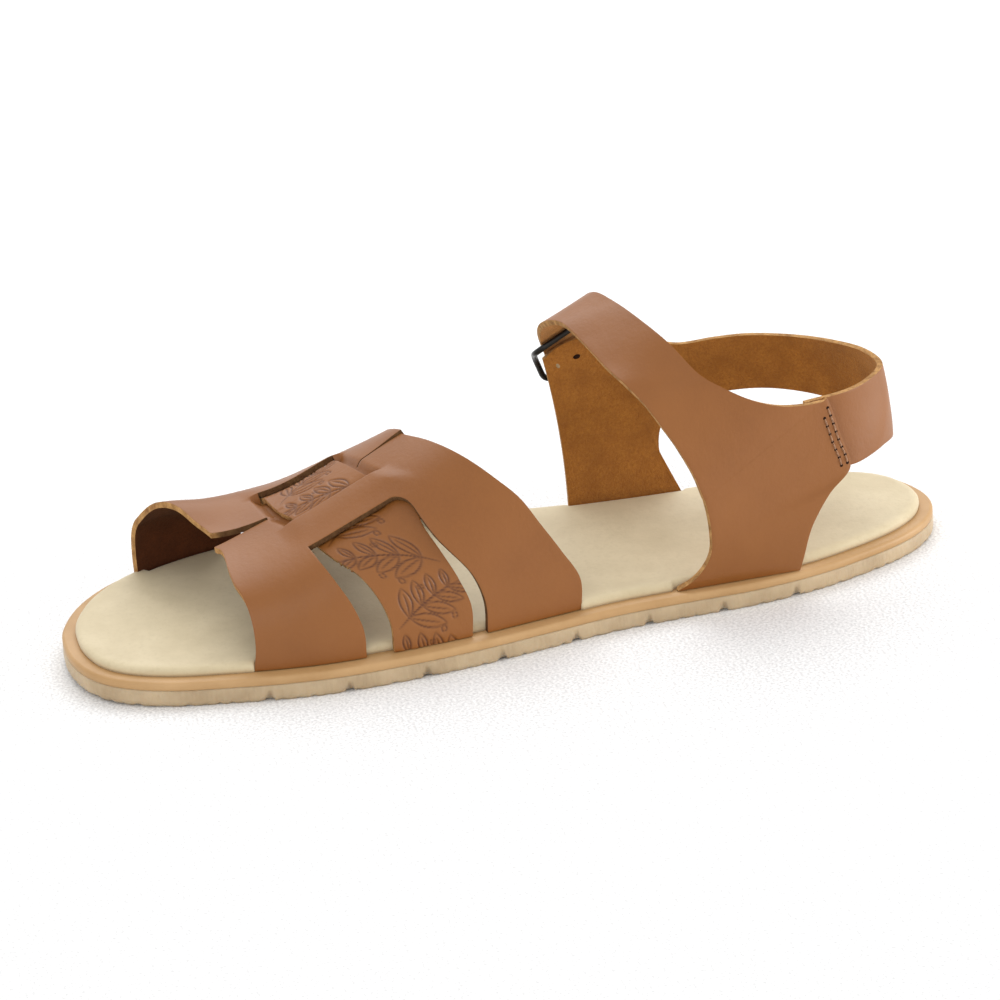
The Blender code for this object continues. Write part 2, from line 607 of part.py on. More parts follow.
def notched_sides():
    """Insets of the insole: it steps inwards where a leather foot stands beside it."""
    leg = LEG_INSET + LEATHER + 2 * GAP - LEDGE
    quarter = QUARTER_INSET + LEATHER + 3 * GAP - LEDGE
    y, x = LOOP[:, 0], LOOP[:, 1]
    extra = np.zeros(len(LOOP))
    for inner, start, end, depth in (
        (True, EDGES["front"][0], EDGES["rear"][0], leg),
        (False, EDGES["front"][-1], EDGES["rear"][-1], leg),
        (True, QUARTER_LOWER[0][1] - NOTCH_PLAY, QUARTER_UPPER[0][1] + NOTCH_PLAY, quarter),
        (False, HEEL_LOWER[0][1] - NOTCH_PLAY, HEEL_LOWER[3][1] + NOTCH_PLAY, quarter),
    ):
        start, end = start * HALF_LENGTH, end * HALF_LENGTH
        rise = step((y - start) / NOTCH_RAMP + NOTCH_RAMPS)
        bump = rise * step((end - y) / NOTCH_RAMP + NOTCH_RAMPS)
        extra += depth * bump * ((x > 0) == inner)
    return extra


NOTCH = notched_sides()
outsole_levels = [(0.75 * SOLE_CORNER, 0), (0, SOLE_CORNER), (0, OUTSOLE)]
slab("outsole", outsole_levels, STATIONS, 5, tread, GUM, 0.6)
smooth_rows = (1 - np.cos(np.linspace(0, np.pi, 45))) / 2
midsole_levels = [(0.0002, MID_BOTTOM), (0.0002, MID_TOP - 0.0006), (SOLE_CORNER, MID_TOP)]
slab("midsole", midsole_levels, smooth_rows, 3, flat, TAN, 0.55)
insole_rows = (1 - np.cos(np.linspace(0, np.pi, 73))) / 2
insole_levels = [
    (LEDGE + NOTCH + 0.0001, FOOT),
    (LEDGE + NOTCH, FOOT + 0.5 * INSOLE),
    (LEDGE + NOTCH + 0.0006, FOOT + 0.86 * INSOLE),
    (LEDGE + NOTCH + 0.0020, INSOLE_TOP),
]
slab("insole", insole_levels, insole_rows, 5, flat, CREAM, 0.8)
build_forefoot()
build_middle_strap()
strap_face, strap_normal = ribbon("inner_quarter", QUARTER_LOWER, QUARTER_UPPER, 61, 5, 0, 0)
ribbon("outer_quarter", HEEL_LOWER, HEEL_UPPER, 49, 5, FRONT_BOW, HEEL_BULGE)
build_buckle(strap_face, strap_normal)
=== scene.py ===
import bpy
import bmesh
import math
import numpy as np
from mathutils import Matrix, Vector


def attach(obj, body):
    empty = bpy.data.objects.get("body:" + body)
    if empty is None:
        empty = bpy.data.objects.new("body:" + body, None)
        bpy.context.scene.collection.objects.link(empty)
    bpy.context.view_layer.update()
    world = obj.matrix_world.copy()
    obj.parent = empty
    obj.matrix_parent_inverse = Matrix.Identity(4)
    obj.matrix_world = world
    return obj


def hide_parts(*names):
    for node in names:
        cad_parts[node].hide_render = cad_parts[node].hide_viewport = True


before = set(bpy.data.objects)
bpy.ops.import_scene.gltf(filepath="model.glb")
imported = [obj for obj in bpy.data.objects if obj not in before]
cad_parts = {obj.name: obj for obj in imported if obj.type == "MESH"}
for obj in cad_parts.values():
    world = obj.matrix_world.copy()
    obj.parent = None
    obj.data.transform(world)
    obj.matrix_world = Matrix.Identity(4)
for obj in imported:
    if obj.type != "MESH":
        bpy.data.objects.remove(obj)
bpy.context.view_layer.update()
scene = bpy.context.scene
print("frame loaded")

# sizes in metres, the same as the solids have
shoe = {
    "length": 0.258, "ballWidth": 0.102, "instepRise": 0.083, "leather": 0.0017, "gap": 0.0003,
    "outsole": 0.0045, "midsole": 0.0024, "insole": 0.0025, "ledge": 0.0040,
    "legInset": 0.0044, "quarterInset": 0.0027, "toeLift": 0.0012, "toeStart": -0.66,
    "crownAcross": 0.157, "crownGirth": 0.062, "windowTop": 0.42, "slots": (0.18, -0.22),
    "slotGap": 0.0010, "innerLip": 0.0058, "outerLip": 0.0022, "slitHalf": 0.0002,
    "bridgeLift": 0.0012, "neckClear": 0.0005, "neckTurn": 0.08, "weaveRun": 0.0029,
    "weaveLead": 0.0009, "liftRun": 0.0065, "windowCorner": 0.0040,
    "windowRise": 0.065, "windowReach": 0.2, "hump": 0.0052, "humpEnd": -0.42, "humpRun": 0.30,
    "humpGirth": 0.60, "slitStep": 0.0008, "lipGirth": 0.15,
    "rearLift": 0.0013, "rearStart": -0.30, "rearRun": 0.12, "frontBow": 0.0012,
    "heelBulge": 0.0016, "heelCentre": 0.45,
}
halfLength = shoe["length"] / 2
halfWidth = shoe["ballWidth"] / 2
midBottom = shoe["outsole"] + shoe["gap"]
midTop = midBottom + shoe["midsole"]
foot = midTop + shoe["gap"]
insoleTop = foot + shoe["insole"]
outlineSteps = 40  # points between two neighbours of the outline table
arcSteps = 128  # parts of each half of the arch

# along towards the heel and across towards the inner side, as shares of half the length and width
outlineTable = [
    (-1.000, 0.275), (-0.989, 0.490), (-0.957, 0.686), (-0.899, 0.829), (-0.806, 0.933), (-0.682, 0.996),
    (-0.558, 1.047), (-0.434, 1.063), (-0.279, 1.031), (-0.124, 0.969), (0.031, 0.878), (0.186, 0.788),
    (0.341, 0.745), (0.496, 0.714), (0.651, 0.627), (0.791, 0.480), (0.891, 0.333), (0.961, 0.157),
    (0.997, -0.059), (0.992, -0.275), (0.950, -0.490), (0.868, -0.633), (0.729, -0.706), (0.543, -0.731),
    (0.341, -0.725), (0.140, -0.745), (-0.078, -0.843), (-0.279, -0.931), (-0.450, -0.933), (-0.620, -0.847),
    (-0.760, -0.706), (-0.868, -0.510), (-0.946, -0.255), (-0.992, 0.039),
]
# along, crown height, squareness of the inner and of the outer half
archTable = np.array([
    (-0.868, 0.368, 4.0, 4.0), (-0.760, 0.384, 4.0, 4.0), (-0.643, 0.380, 3.5, 3.4), (-0.512, 0.434, 3.2, 2.6),
    (-0.349, 0.560, 2.9, 1.95), (-0.233, 0.657, 2.6, 1.7), (-0.078, 0.759, 2.4, 1.7), (0.155, 0.892, 2.3, 1.8),
])
girthKnots = (1.0, 0.88, 0.76, 0.64, 0.52, 0.42, 0.18, 0.0, -0.22, -0.42, -0.55, -0.70, -0.85, -1.0)
edgeTable = {
    "front": (
        -0.620, -0.613, -0.614, -0.622, -0.636, -0.640, -0.641, -0.653, -0.700, -0.762, -0.787, -0.804, -0.808,
        -0.807,
    ),
    "windowFront": (
        -0.380, -0.381, -0.400, -0.429, -0.455, -0.470, -0.509, -0.528, -0.550, -0.575, -0.575, -0.566, -0.556,
        -0.550,
    ),
    "windowRear": (
        -0.109, -0.109, -0.132, -0.180, -0.229, -0.258, -0.296, -0.328, -0.345, -0.345, -0.335, -0.318, -0.300,
        -0.287,
    ),
    "rear": (
        0.109, 0.110, 0.072, 0.030, -0.012, -0.062, -0.170, -0.220, -0.232, -0.202, -0.178, -0.140, -0.100,
        -0.062,
    ),
    "strapFront": (
        -0.319, -0.320, -0.341, -0.377, -0.425, -0.450, -0.475, -0.503, -0.524, -0.545, -0.541, -0.525, -0.506,
        -0.496,
    ),
    "strapRear": (
        -0.144, -0.140, -0.162, -0.193, -0.224, -0.238, -0.312, -0.340, -0.364, -0.380, -0.376, -0.356, -0.336,
        -0.326,
    ),
}


# cubic through the values at the knots, each slope from its two neighbours
def hermite(x, knots, values):
    knots, values = np.asarray(knots, float), np.asarray(values, float)
    slopes = np.gradient(values, knots, axis=0)
    x = np.clip(x, knots[0], knots[-1])
    i = np.clip(np.searchsorted(knots, x, side="right") - 1, 0, len(knots) - 2)
    h = knots[i + 1] - knots[i]
    t = (x - knots[i]) / h
    if values.ndim > 1:
        h, t = h[:, None], t[:, None]
    start = (2 * t**3 - 3 * t**2 + 1) * values[i] + (t**3 - 2 * t**2 + t) * h * slopes[i]
    return start + (3 * t**2 - 2 * t**3) * values[i + 1] + (t**3 - t**2) * h * slopes[i + 1]


def smoothLine(points, count):  # points evenly spaced in knot number along that cubic
    points = np.asarray(points, float)
    return hermite(np.linspace(0, len(points) - 1, count), np.arange(len(points)), points)


def ramp(x):  # 0 below 0, 1 above 1, three x squared less two x cubed between
    x = np.clip(x, 0, 1)
    return x * x * (3 - 2 * x)


def toeLift(y):  # the toe rises with the square of the way past its start
    start = shoe["toeStart"]
    past = (start * halfLength - y) / ((1 + start) * halfLength)
    return shoe["toeLift"] * np.clip(past, 0, None) ** 2


loop = np.array(outlineTable) * (halfLength, halfWidth)
begin, end = 3 * outlineSteps, (3 + len(loop)) * outlineSteps
loop = smoothLine(np.vstack([loop[-3:], loop, loop[:3]]), outlineSteps * (len(loop) + 5) + 1)[begin:end]
tangent = np.roll(loop, -1, 0) - np.roll(loop, 1, 0)
inward = np.stack([tangent[:, 1], -tangent[:, 0]], 1) / np.linalg.norm(tangent, axis=1)[:, None]
inward = -inward if ((loop * inward).sum(1) > 0).mean() > 0.5 else inward


# the outline moved inwards along its own normals, cut at toe and heel into two halves sorted by length
def sides(inset):
    moved = loop + inward * (np.zeros(len(loop)) + inset)[:, None]
    toe, heel = moved[:, 0].argmin(), moved[:, 0].argmax()
    inner = moved[toe:heel + 1] if toe < heel else np.vstack([moved[toe:], moved[:heel + 1]])
    outer = moved[heel:toe + 1] if heel < toe else np.vstack([moved[heel:], moved[:toe + 1]])
    return inner[np.argsort(inner[:, 0])], outer[np.argsort(outer[:, 0])]


# the outer side stands up in a squared sine at its toe edge, and in a bell beside the rear slit
def hump(girth, along):
    forward = ramp((shoe["humpEnd"] - along) / shoe["humpRun"])
    rearward = ramp((along - shoe["rearStart"]) / shoe["rearRun"])
    swell = shoe["hump"] * np.sin(np.pi * np.clip(-girth / shoe["humpGirth"], 0, 1)) ** 2
    lip = np.exp(-(girth / shoe["lipGirth"]) ** 2)
    outer = forward * (swell + shoe["slitStep"] * lip) + rearward * shoe["rearLift"] * lip
    return np.where(girth < 0, outer, -forward * shoe["slitStep"] * lip)


# a point of the forefoot arch: each half is a superellipse from crown to foot, walked by arc length
def archPoint(girth, y, inset):
    girth, y = np.broadcast_arrays(np.asarray(girth, float), np.asarray(y, float))
    shape = girth.shape
    girth, y = girth.ravel(), y.ravel()
    inner, outer = sides(inset)
    onInner = girth > 0
    innerSide, outerSide = (np.interp(y, edge[:, 0], edge[:, 1]) for edge in (inner, outer))
    side = np.where(onInner, innerSide, outerSide)
    crown, innerPower, outerPower = hermite(y / halfLength, archTable[:, 0], archTable[:, 1:]).T
    power = 2 / np.where(onInner, innerPower, outerPower)[:, None]
    middle = shoe["crownAcross"] * halfWidth
    angle = np.linspace(0, np.pi / 2, arcSteps + 1)[None, :]
    reach = np.abs(side - middle)[:, None] * np.sin(angle) ** power
    rise = (crown * shoe["instepRise"] - foot)[:, None] * np.clip(np.cos(angle), 0, 1) ** power
    run = np.hypot(np.diff(reach, axis=1), np.diff(rise, axis=1)).cumsum(1)
    run = np.hstack([np.zeros((len(y), 1)), run])
    want = np.abs(girth) * run[:, -1]
    i = np.clip((run < want[:, None]).sum(1) - 1, 0, arcSteps - 1)
    row = np.arange(len(y))
    part = (want - run[row, i]) / np.maximum(run[row, i + 1] - run[row, i], 1e-12)
    x = middle + np.where(onInner, 1, -1) * (reach[row, i] * (1 - part) + reach[row, i + 1] * part)
    z = foot + rise[row, i] * (1 - part) + rise[row, i + 1] * part
    z = z + toeLift(y) + hump(girth, y / halfLength)
    return np.stack([x, y, z], -1).reshape(shape + (3,))


# unit normals of a grid: the cross product of its two directions, averaged with the neighbours
def gridNormals(grid, passes=0):
    normal = -np.cross(np.gradient(grid, axis=1), np.gradient(grid, axis=0))
    for _ in range(passes):
        wide = np.pad(normal, ((1, 1), (1, 1), (0, 0)), mode="edge")
        normal = 2 * normal + wide[:-2, 1:-1] + wide[2:, 1:-1] + wide[1:-1, :-2] + wide[1:-1, 2:]
    return normal / np.maximum(np.linalg.norm(normal, axis=-1), 1e-15)[..., None]


def edgeAt(name, girth):  # how far along the sole an edge lies, at each girth
    return halfLength * hermite(girth, np.array(girthKnots)[::-1], np.array(edgeTable[name])[::-1])


# whole arrays of points and four-sided faces put into one mesh
def addMesh(name, points, faces, materials, slots=None, values=None):
    mesh = bpy.data.meshes.new(name)
    points, faces = np.asarray(points, np.float32), np.asarray(faces, np.int32)
    mesh.vertices.add(len(points))
    mesh.vertices.foreach_set("co", points.ravel())
    mesh.loops.add(faces.size)
    mesh.loops.foreach_set("vertex_index", faces.ravel())
    mesh.polygons.add(len(faces))
    mesh.polygons.foreach_set("loop_start", np.arange(0, faces.size, faces.shape[1], dtype=np.int32))
    if slots is not None:
        mesh.polygons.foreach_set("material_index", np.asarray(slots, np.int32))
    for key, array in (values or {}).items():
        mesh.attributes.new(key, "FLOAT", "POINT").data.foreach_set("value", np.asarray(array, np.float32))
    mesh.update()
    mesh.validate()
    mesh.shade_smooth()
    obj = bpy.data.objects.new(name, mesh)
    scene.collection.objects.link(obj)
    for material in materials:
        mesh.materials.append(material)
    return obj


# corner numbers of a grid's cells, closed across where wrap is set
def gridFaces(rows, columns, wrap=False):
    index = np.arange(rows * columns).reshape(rows, columns)
    index = np.hstack([index, index[:, :1]]) if wrap else index
    return np.stack([index[:-1, :-1], index[:-1, 1:], index[1:, 1:], index[1:, :-1]], -1)


def mended(obj, width=1e-6):  # points in one place made one, and every face turned outwards
    work = bmesh.new()
    work.from_mesh(obj.data)
    bmesh.ops.remove_doubles(work, verts=work.verts, dist=width)
    bmesh.ops.dissolve_degenerate(work, edges=work.edges, dist=width)
    bmesh.ops.recalc_face_normals(work, faces=work.faces)
    work.to_mesh(obj.data)
    work.free()
    return obj


def finished(obj, slotName, *nodes):
    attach(obj, "root")
    if nodes:
        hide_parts(*nodes)
    print("made", obj.name, len(obj.data.polygons), "faces")


# materials
def addNode(material, kind, values=None, **settings):
    tree = material.node_tree
    node = tree.nodes.new(kind)
    for key, value in settings.items():
        setattr(node, key, value)
    for key, value in (values or {}).items():
        if isinstance(value, bpy.types.NodeSocket):
            tree.links.new(value, node.inputs[key])
        else:
            node.inputs[key].default_value = value
    return node


def noiseOf(material, scale, detail=4.0, rough=0.55, stretch=(1, 1, 1)):
    place = addNode(material, "ShaderNodeTexCoord")
    turned = addNode(material, "ShaderNodeMapping", {"Vector": place.outputs["Object"], "Scale": stretch})
    values = {"Vector": turned.outputs["Vector"], "Scale": scale, "Detail": detail, "Roughness": rough}
    return addNode(material, "ShaderNodeTexNoise", values).outputs["Fac"]


# from first to second as the factor rises from low to high
def mixOf(material, factor, first, second, low, high):
    spread = addNode(material, "ShaderNodeMapRange", {"Value": factor, "From Min": low, "From Max": high})
    values = {"Factor": spread.outputs["Result"]}
    node = addNode(material, "ShaderNodeMix", values, data_type="RGBA")
    colourA = [s for s in node.inputs if s.name == "A" and s.type == "RGBA"][0]
    colourB = [s for s in node.inputs if s.name == "B" and s.type == "RGBA"][0]
    for socket, value in ((colourA, first), (colourB, second)):
        if isinstance(value, bpy.types.NodeSocket):
            material.node_tree.links.new(value, socket)
        else:
            socket.default_value = (*value, 1)
    return [s for s in node.outputs if s.type == "RGBA"][0]


def bumpOf(material, heights):  # heights are (socket, metres), the coarse relief first
    normal = None
    for height, distance in heights:
        values = {"Height": height, "Distance": distance, "Strength": 1.0}
        if normal is not None:
            values["Normal"] = normal
        normal = addNode(material, "ShaderNodeBump", values).outputs["Normal"]
    return normal


# a look holds the shader's values, its noises (scale, detail, roughness, stretch), its colour layers from the
# base up (noise or attribute, first, second, low, high; None is the colour below) and its bumps in metres
brown, lightBrown = (0.222, 0.075, 0.0130), (0.266, 0.095, 0.0188)
# cutShaded is painted shade: the cut edges' colour where they face away from the light
cutDark, cutLight, cutShaded = (0.24, 0.105, 0.035), (0.60, 0.335, 0.125), (0.055, 0.020, 0.008)
paleDark, paleLight = (0.54, 0.445, 0.275), (0.635, 0.535, 0.350)
gumDark, gumLight = (0.38, 0.270, 0.155), (0.54, 0.410, 0.255)
looks = {
    "brownLeather": {
        "shader": {"Roughness": 0.45, "Specular IOR Level": 0.40},
        "noises": {"cloud": (28, 3), "pores": (900, 3, 0.6), "creases": (70, 4, 0.6, (1, 1.6, 1))},
        "colours": [("cloud", brown, lightBrown, 0.3, 0.7), ("pores", None, lightBrown, 0.35, 1.5)],
        "bumps": [("creases", 0.00022), ("pores", 0.00006)],
    },
    "cutEdge": {
        "shader": {"Roughness": 0.9, "Specular IOR Level": 0.2},
        "noises": {"fibres": (1700, 5, 0.7), "cloud": (420, 4, 0.6)},
        "colours": [
            ("cloud", cutDark, cutLight, 0.25, 0.62), ("fibres", None, cutDark, 0.5, 0.95),
            # painted shade on the cut edges, by the shade attribute that the forefoot carries
            ("shade", None, cutShaded, 0.0, 1.25),
        ],
        "bumps": [("cloud", 0.0009), ("fibres", 0.0005)],
    },
    "insoleLeather": {
        "shader": {
            "Roughness": 0.62, "Specular IOR Level": 0.35, "Sheen Weight": 0.15, "Sheen Roughness": 0.5,
        },
        "noises": {"grain": (650, 4, 0.65), "wrinkles": (160, 4, 0.6, (0.5, 1.0, 1)), "cloud": (45, 4, 0.6)},
        "colours": [("cloud", paleDark, paleLight, 0.3, 0.62), ("grain", paleDark, None, 0.1, 0.5)],
        "bumps": [("wrinkles", 0.00014), ("grain", 0.00007)],
    },
    "tanRubber": {
        "shader": {"Roughness": 0.5, "Specular IOR Level": 0.45},
        "noises": {"cloud": (60,), "grain": (1300, 3)},
        "colours": [("cloud", (0.43, 0.245, 0.095), (0.52, 0.315, 0.140), 0.3, 0.7)],
        "bumps": [("cloud", 0.0004), ("grain", 0.00005)],
    },
    "gumRubber": {
        "shader": {
            "Roughness": 0.5, "Specular IOR Level": 0.45, "Subsurface Weight": 0.35,
            "Subsurface Scale": 0.003, "Subsurface Radius": (1.0, 0.65, 0.4),
        },
        "noises": {"cloud": (80, 5), "streaks": (900, 4, 0.6, (1, 1, 0.25))},
        "colours": [("cloud", gumDark, gumLight, 0.3, 0.7), ("streaks", None, gumLight, 0.4, 1.2)],
        "bumps": [("cloud", 0.0006), ("streaks", 0.00018)],
    },
    "blackMetal": {
        "shader": {"Metallic": 0.6, "Base Color": (0.018, 0.017, 0.016, 1)},
        "noises": {"wear": (900,)}, "roughness": ("wear", 0.22, 0.48), "bumps": [("wear", 0.00004)],
    },
    "brownThread": {
        "shader": {"Roughness": 0.75, "Sheen Weight": 0.3},
        "noises": {"twist": (2600, 2)},
        "colours": [("twist", (0.20, 0.085, 0.035), (0.42, 0.215, 0.105), 0.35, 0.65)],
        "bumps": [("twist", 0.0002)],
    },
}
looks["embossedLeather"] = dict(looks["brownLeather"], colours=looks["brownLeather"]["colours"] + [
    # the embossed grooves are coloured darker brown as painted shade in the recesses
    ("groove", None, (0.085, 0.024, 0.007), 0.12, 0.95),
])
for key, dark, light, sheen in (
    ("suedeSide", (0.235, 0.078, 0.010), (0.50, 0.195, 0.030), 0.30),
    # the forefoot's inner face: the same suede darkened as painted shade
    ("shadedSuede", (0.045, 0.010, 0.002), (0.110, 0.028, 0.006), 0.05),
):
    looks[key] = {
        "shader": {
            "Roughness": 0.95, "Specular IOR Level": 0.15, "Sheen Weight": sheen, "Sheen Roughness": 0.6,
            "Sheen Tint": (0.95, 0.72, 0.42, 1),
        },
        "noises": {"fibres": (1500, 5, 0.75), "cloud": (130, 5, 0.65)},
        "colours": [("cloud", dark, light, 0.15, 0.85), ("fibres", dark, None, 0.25, 0.6)],
        "bumps": [("cloud", 0.0003), ("fibres", 0.00035)],
    }
for key, colour, rough in (
    # shadeInHole is painted shade: a near black dot standing for the inside of a punched hole
    ("shadeInHole", (0.022, 0.008, 0.004), 0.9), ("paleMark", (0.42, 0.30, 0.17), 0.7),
    ("paleFloor", (0.97, 0.97, 0.97), 0.8),
):
    looks[key] = {
        "shader": {"Roughness": rough, "Specular IOR Level": 0.1}, "noises": {"speckle": (1200, 3)},
        "colours": [("speckle", [0.7 * c for c in colour], colour, 0.35, 0.65)],
    }


def makeMaterial(name):
    look = looks[name]
    material = bpy.data.materials.new(name)
    material.use_nodes = True
    shader = material.node_tree.nodes["Principled BSDF"]
    for key, value in look["shader"].items():
        shader.inputs[key].default_value = value
    fields = {key: noiseOf(material, *values) for key, values in look["noises"].items()}
    links, colour = {}, None
    for key, first, second, low, high in look.get("colours", ()):
        if key not in fields:
            fields[key] = addNode(material, "ShaderNodeAttribute", attribute_name=key).outputs["Fac"]
        colour = mixOf(material, fields[key], first or colour, second or colour, low, high)
        links["Base Color"] = colour
    if "roughness" in look:
        key, low, high = look["roughness"]
        values = {"Value": fields[key], "To Min": low, "To Max": high}
        links["Roughness"] = addNode(material, "ShaderNodeMapRange", values).outputs["Result"]
    if "bumps" in look:
        links["Normal"] = bumpOf(material, [(fields[key], metres) for key, metres in look["bumps"]])
    for key, socket in links.items():
        material.node_tree.links.new(socket, shader.inputs[key])
    return material


made = {name: makeMaterial(name) for name in looks}
leather, embossedLeather, suede, shadedSuede, cutEdge = (
    made[name] for name in ("brownLeather", "embossedLeather", "suedeSide", "shadedSuede", "cutEdge"))
print("materials made")

# widths of the soft corners along the cut edges
softCorner = {"upper": 0.00035, "strap": 0.00012}


def softened(obj, width):
    soft = obj.modifiers.new("softEdge", "BEVEL")
    soft.limit_method = "ANGLE"
    soft.angle_limit = math.radians(50)
    soft.width = width
    soft.segments = 2
    return obj


# a leather wall: one surface grid given its thickness inwards, with soft corners along its cut edges
def leatherWall(name, grid, keep, face, back, node, slotName, values, corner):
    rows, columns = grid.shape[:2]
    faces = gridFaces(rows, columns)[keep][:, ::-1]  # turned so that the grain side faces outwards
    used, faces = np.unique(faces, return_inverse=True)
    faces = faces.reshape(-1, 4)
    points = grid.reshape(-1, 3)[used]
    values = {key: array.reshape(-1)[used] for key, array in values.items()}
    obj = addMesh(name, points, faces, [face, back, cutEdge], values=values)
    wall = obj.modifiers.new("wall", "SOLIDIFY")
    wall.thickness = shoe["leather"]
    wall.offset = -1
    wall.material_offset = 1
    wall.material_offset_rim = 2
    finished(softened(obj, corner), slotName, node)


# height of the strap's outer face over the arch, in leather thicknesses, by girth beyond the slots
strapBeyond = (-0.18, -0.10, -0.035, 0.012, 0.12, 0.24, 0.42, 0.60, 0.74, 0.80)
strapHeights = (0.45, 0.40, 0.10, -0.54, -1.15, -1.38, -1.30, -0.8, -0.2, 0.0)


def strapHeight(girth):
    beyond = np.abs(girth) - np.where(girth > 0, shoe["slots"][0], -shoe["slots"][1])
    return shoe["leather"] * hermite(beyond.ravel(), strapBeyond, strapHeights).reshape(girth.shape)


# leather lies on the arch, raised at the bridges and dipped at the neck under the middle strap
def weave(girth, y):
    slots = shoe["slots"]
    ahead, behind = y - edgeAt("strapFront", girth), edgeAt("strapRear", girth) - y
    lead, run = shoe["weaveLead"], shoe["weaveRun"]
    dip = ramp((ahead + lead) / run + 1) * ramp((behind + lead) / run + 1)
    lift = ramp(ahead / shoe["liftRun"] + 1) * ramp(behind / shoe["liftRun"] + 1)
    side = np.where(girth > 0, girth / slots[0], girth / slots[1])
    neck = ramp((1.0 - side) / shoe["neckTurn"] + 0.5)
    fade = ramp((shoe["windowTop"] - np.abs(girth)) / (shoe["windowTop"] - slots[0]))
    drop = shoe["neckClear"] + shoe["leather"] - strapHeight(girth)
    return shoe["bridgeLift"] * lift * fade * (1 - neck) - dip * drop * neck


# points beside a window's rear corner moved onto a circle: how far down and how far forward
def roundedCorner(below, ahead, radius):
    nearTop, nearRear = np.clip(below, 0, radius), np.clip(ahead, 0, radius)
    onTop = nearRear > nearTop
    turn = np.pi / 4 * (1 - np.maximum(nearTop, nearRear) / radius)
    short, long = radius * (1 - np.cos(turn)), radius * (1 - np.sin(turn))
    down, forward = np.where(onTop, short, long - nearTop), np.where(onTop, long - nearRear, short)
    fade = ramp(1 - np.maximum(np.clip(-below, 0, None), np.clip(-ahead, 0, None)) / (2 * radius))
    return down * fade, forward * fade


def refined(knots, step):  # the knots with even points added, so that no part is longer than step
    parts = [np.linspace(a, b, max(2, int(np.ceil(abs(b - a) / step)) + 1))[:-1]
             for a, b in zip(knots, knots[1:])]
    return np.concatenate(parts + [[knots[-1]]])


# steps of the grid, the slots' ends between the windows' edges, and how far behind the lit front edge the cut
# edges take painted shade
forefoot = {
    "columnStep": 0.011, "rowStep": 0.0009, "lengths": (0.035, 0.036, 0.030),
    "slotShares": (0.10, 0.96), "slitReach": 0.17, "litEdge": 0.0022, "litStart": 0.3,
}


def makeForefoot():
    gap = 0.5 * shoe["slotGap"] / shoe["crownGirth"]
    innerSlot, outerSlot = shoe["slots"]
    top = shoe["windowTop"]
    inner = refined([1.0, top, innerSlot + gap, innerSlot - gap, 0.0], forefoot["columnStep"])
    outer = refined([0.0, outerSlot + gap, outerSlot - gap, -top, -1.0], forefoot["columnStep"])
    columns = np.concatenate([inner, outer])
    slit = len(inner) - 1
    counts = [int(length / forefoot["rowStep"]) for length in forefoot["lengths"]]
    names = ["front", "windowFront", "windowRear", "rear"]
    y = [(1 - share) * edgeAt(names[k], columns) + share * edgeAt(names[k + 1], columns)
         for k in range(3) for share in np.arange(counts[k]) / counts[k]]
    y = np.array(y + [edgeAt("rear", columns)])
    first, second = counts[0], counts[0] + counts[1]
    j = np.arange(len(y))[:, None]
    ahead = np.clip((first - j) / first, 0, 1) ** 2
    behind = np.clip((j - second) / counts[2], 0, 1)
    onInner = np.arange(len(columns))[None, :] <= slit
    lip = np.where(onInner, shoe["innerLip"], shoe["outerLip"])
    half = shoe["gap"] + (lip - shoe["gap"]) * ahead + (shoe["slitHalf"] - shoe["gap"]) * behind
    away = np.where(onInner, 1, -1)
    below = (np.abs(columns)[None, :] - top) * shoe["crownGirth"]
    down, forward = roundedCorner(below, edgeAt("windowRear", columns) - y, shoe["windowCorner"])
    front, rear, end = (edgeAt(name, columns) for name in ("windowFront", "windowRear", "rear"))
    rise = np.clip((y - front) / (rear - front), 0, 1) * np.clip((end - y) / (end - rear), 0, 1)
    rise *= shoe["windowRise"] * ramp(1 - np.abs(np.abs(columns) - top) / shoe["windowReach"])
    spread = half * ramp(1 - np.abs(columns[None, :]) / forefoot["slitReach"]) + down
    girth = columns[None, :] + away * (spread / shoe["crownGirth"] - rise)
    y = y - forward
    base = archPoint(girth, y, shoe["legInset"])
    normal = gridNormals(base)
    grid = base + normal * weave(columns[None, :] + 0 * y, y)[..., None]
    grid[:, 0, 2], grid[:, -1, 2] = base[:, 0, 2], base[:, -1, 2]
    keep = np.ones((len(y) - 1, len(columns) - 1), bool)
    middle = (np.arange(len(y) - 1) >= first) & (np.arange(len(y) - 1) < second)
    centre = (columns[:-1] + columns[1:]) / 2
    window = np.abs(centre) > top
    slot = (np.abs(centre - innerSlot) < gap) | (np.abs(centre - outerSlot) < gap)
    start, end = (first + share * (second - first) for share in forefoot["slotShares"])
    slotted = (np.arange(len(y) - 1) >= round(start)) & (np.arange(len(y) - 1) < round(end))
    keep &= ~(middle[:, None] & window[None, :]) & ~(slotted[:, None] & slot[None, :])
    keep[:, slit] &= middle
    fromToe = np.linalg.norm(np.diff(grid, axis=0, prepend=grid[:1]), axis=-1).cumsum(0)
    # painted shade on the cut edges: nought along the lit front edge, one further in
    values = {"shade": ramp(fromToe / forefoot["litEdge"] - forefoot["litStart"])}
    # the forefoot's inner face takes the suede darkened as painted shade
    leatherWall("forefootLeather", grid, keep, leather, shadedSuede, "forefoot_upper", "leather", values,
                softCorner["upper"])


makeForefoot()

# the ornament's sizes are millimetres on the strap and degrees, its shares are of the strap or the stroke
strap = {"columns": 300, "rows": 92, "grooveWidth": 0.30, "grooveDepth": 0.00036, "reach": 1.5}
sprig = {
    "step": 16.5, "shift": 0.6, "aside": 0.42, "lean": 62, "stem": 25.0, "tip": 2.0, "bend": (0.55, 2.4),
    "leafSpots": (0.16, 0.36, 0.56, 0.76), "leaf": 11.0, "shorter": 0.13, "leafTurns": (48, -52),
    "leafSizes": (1.0, 0.86), "leafWidth": 0.36, "vein": (0.45, 0.04, 0.8),
    "rings": 3, "ringPlace": (5.5, 9.4), "ringStep": (4.6, 1.1), "ringRadius": 0.75, "ringRound": 0.92,
}


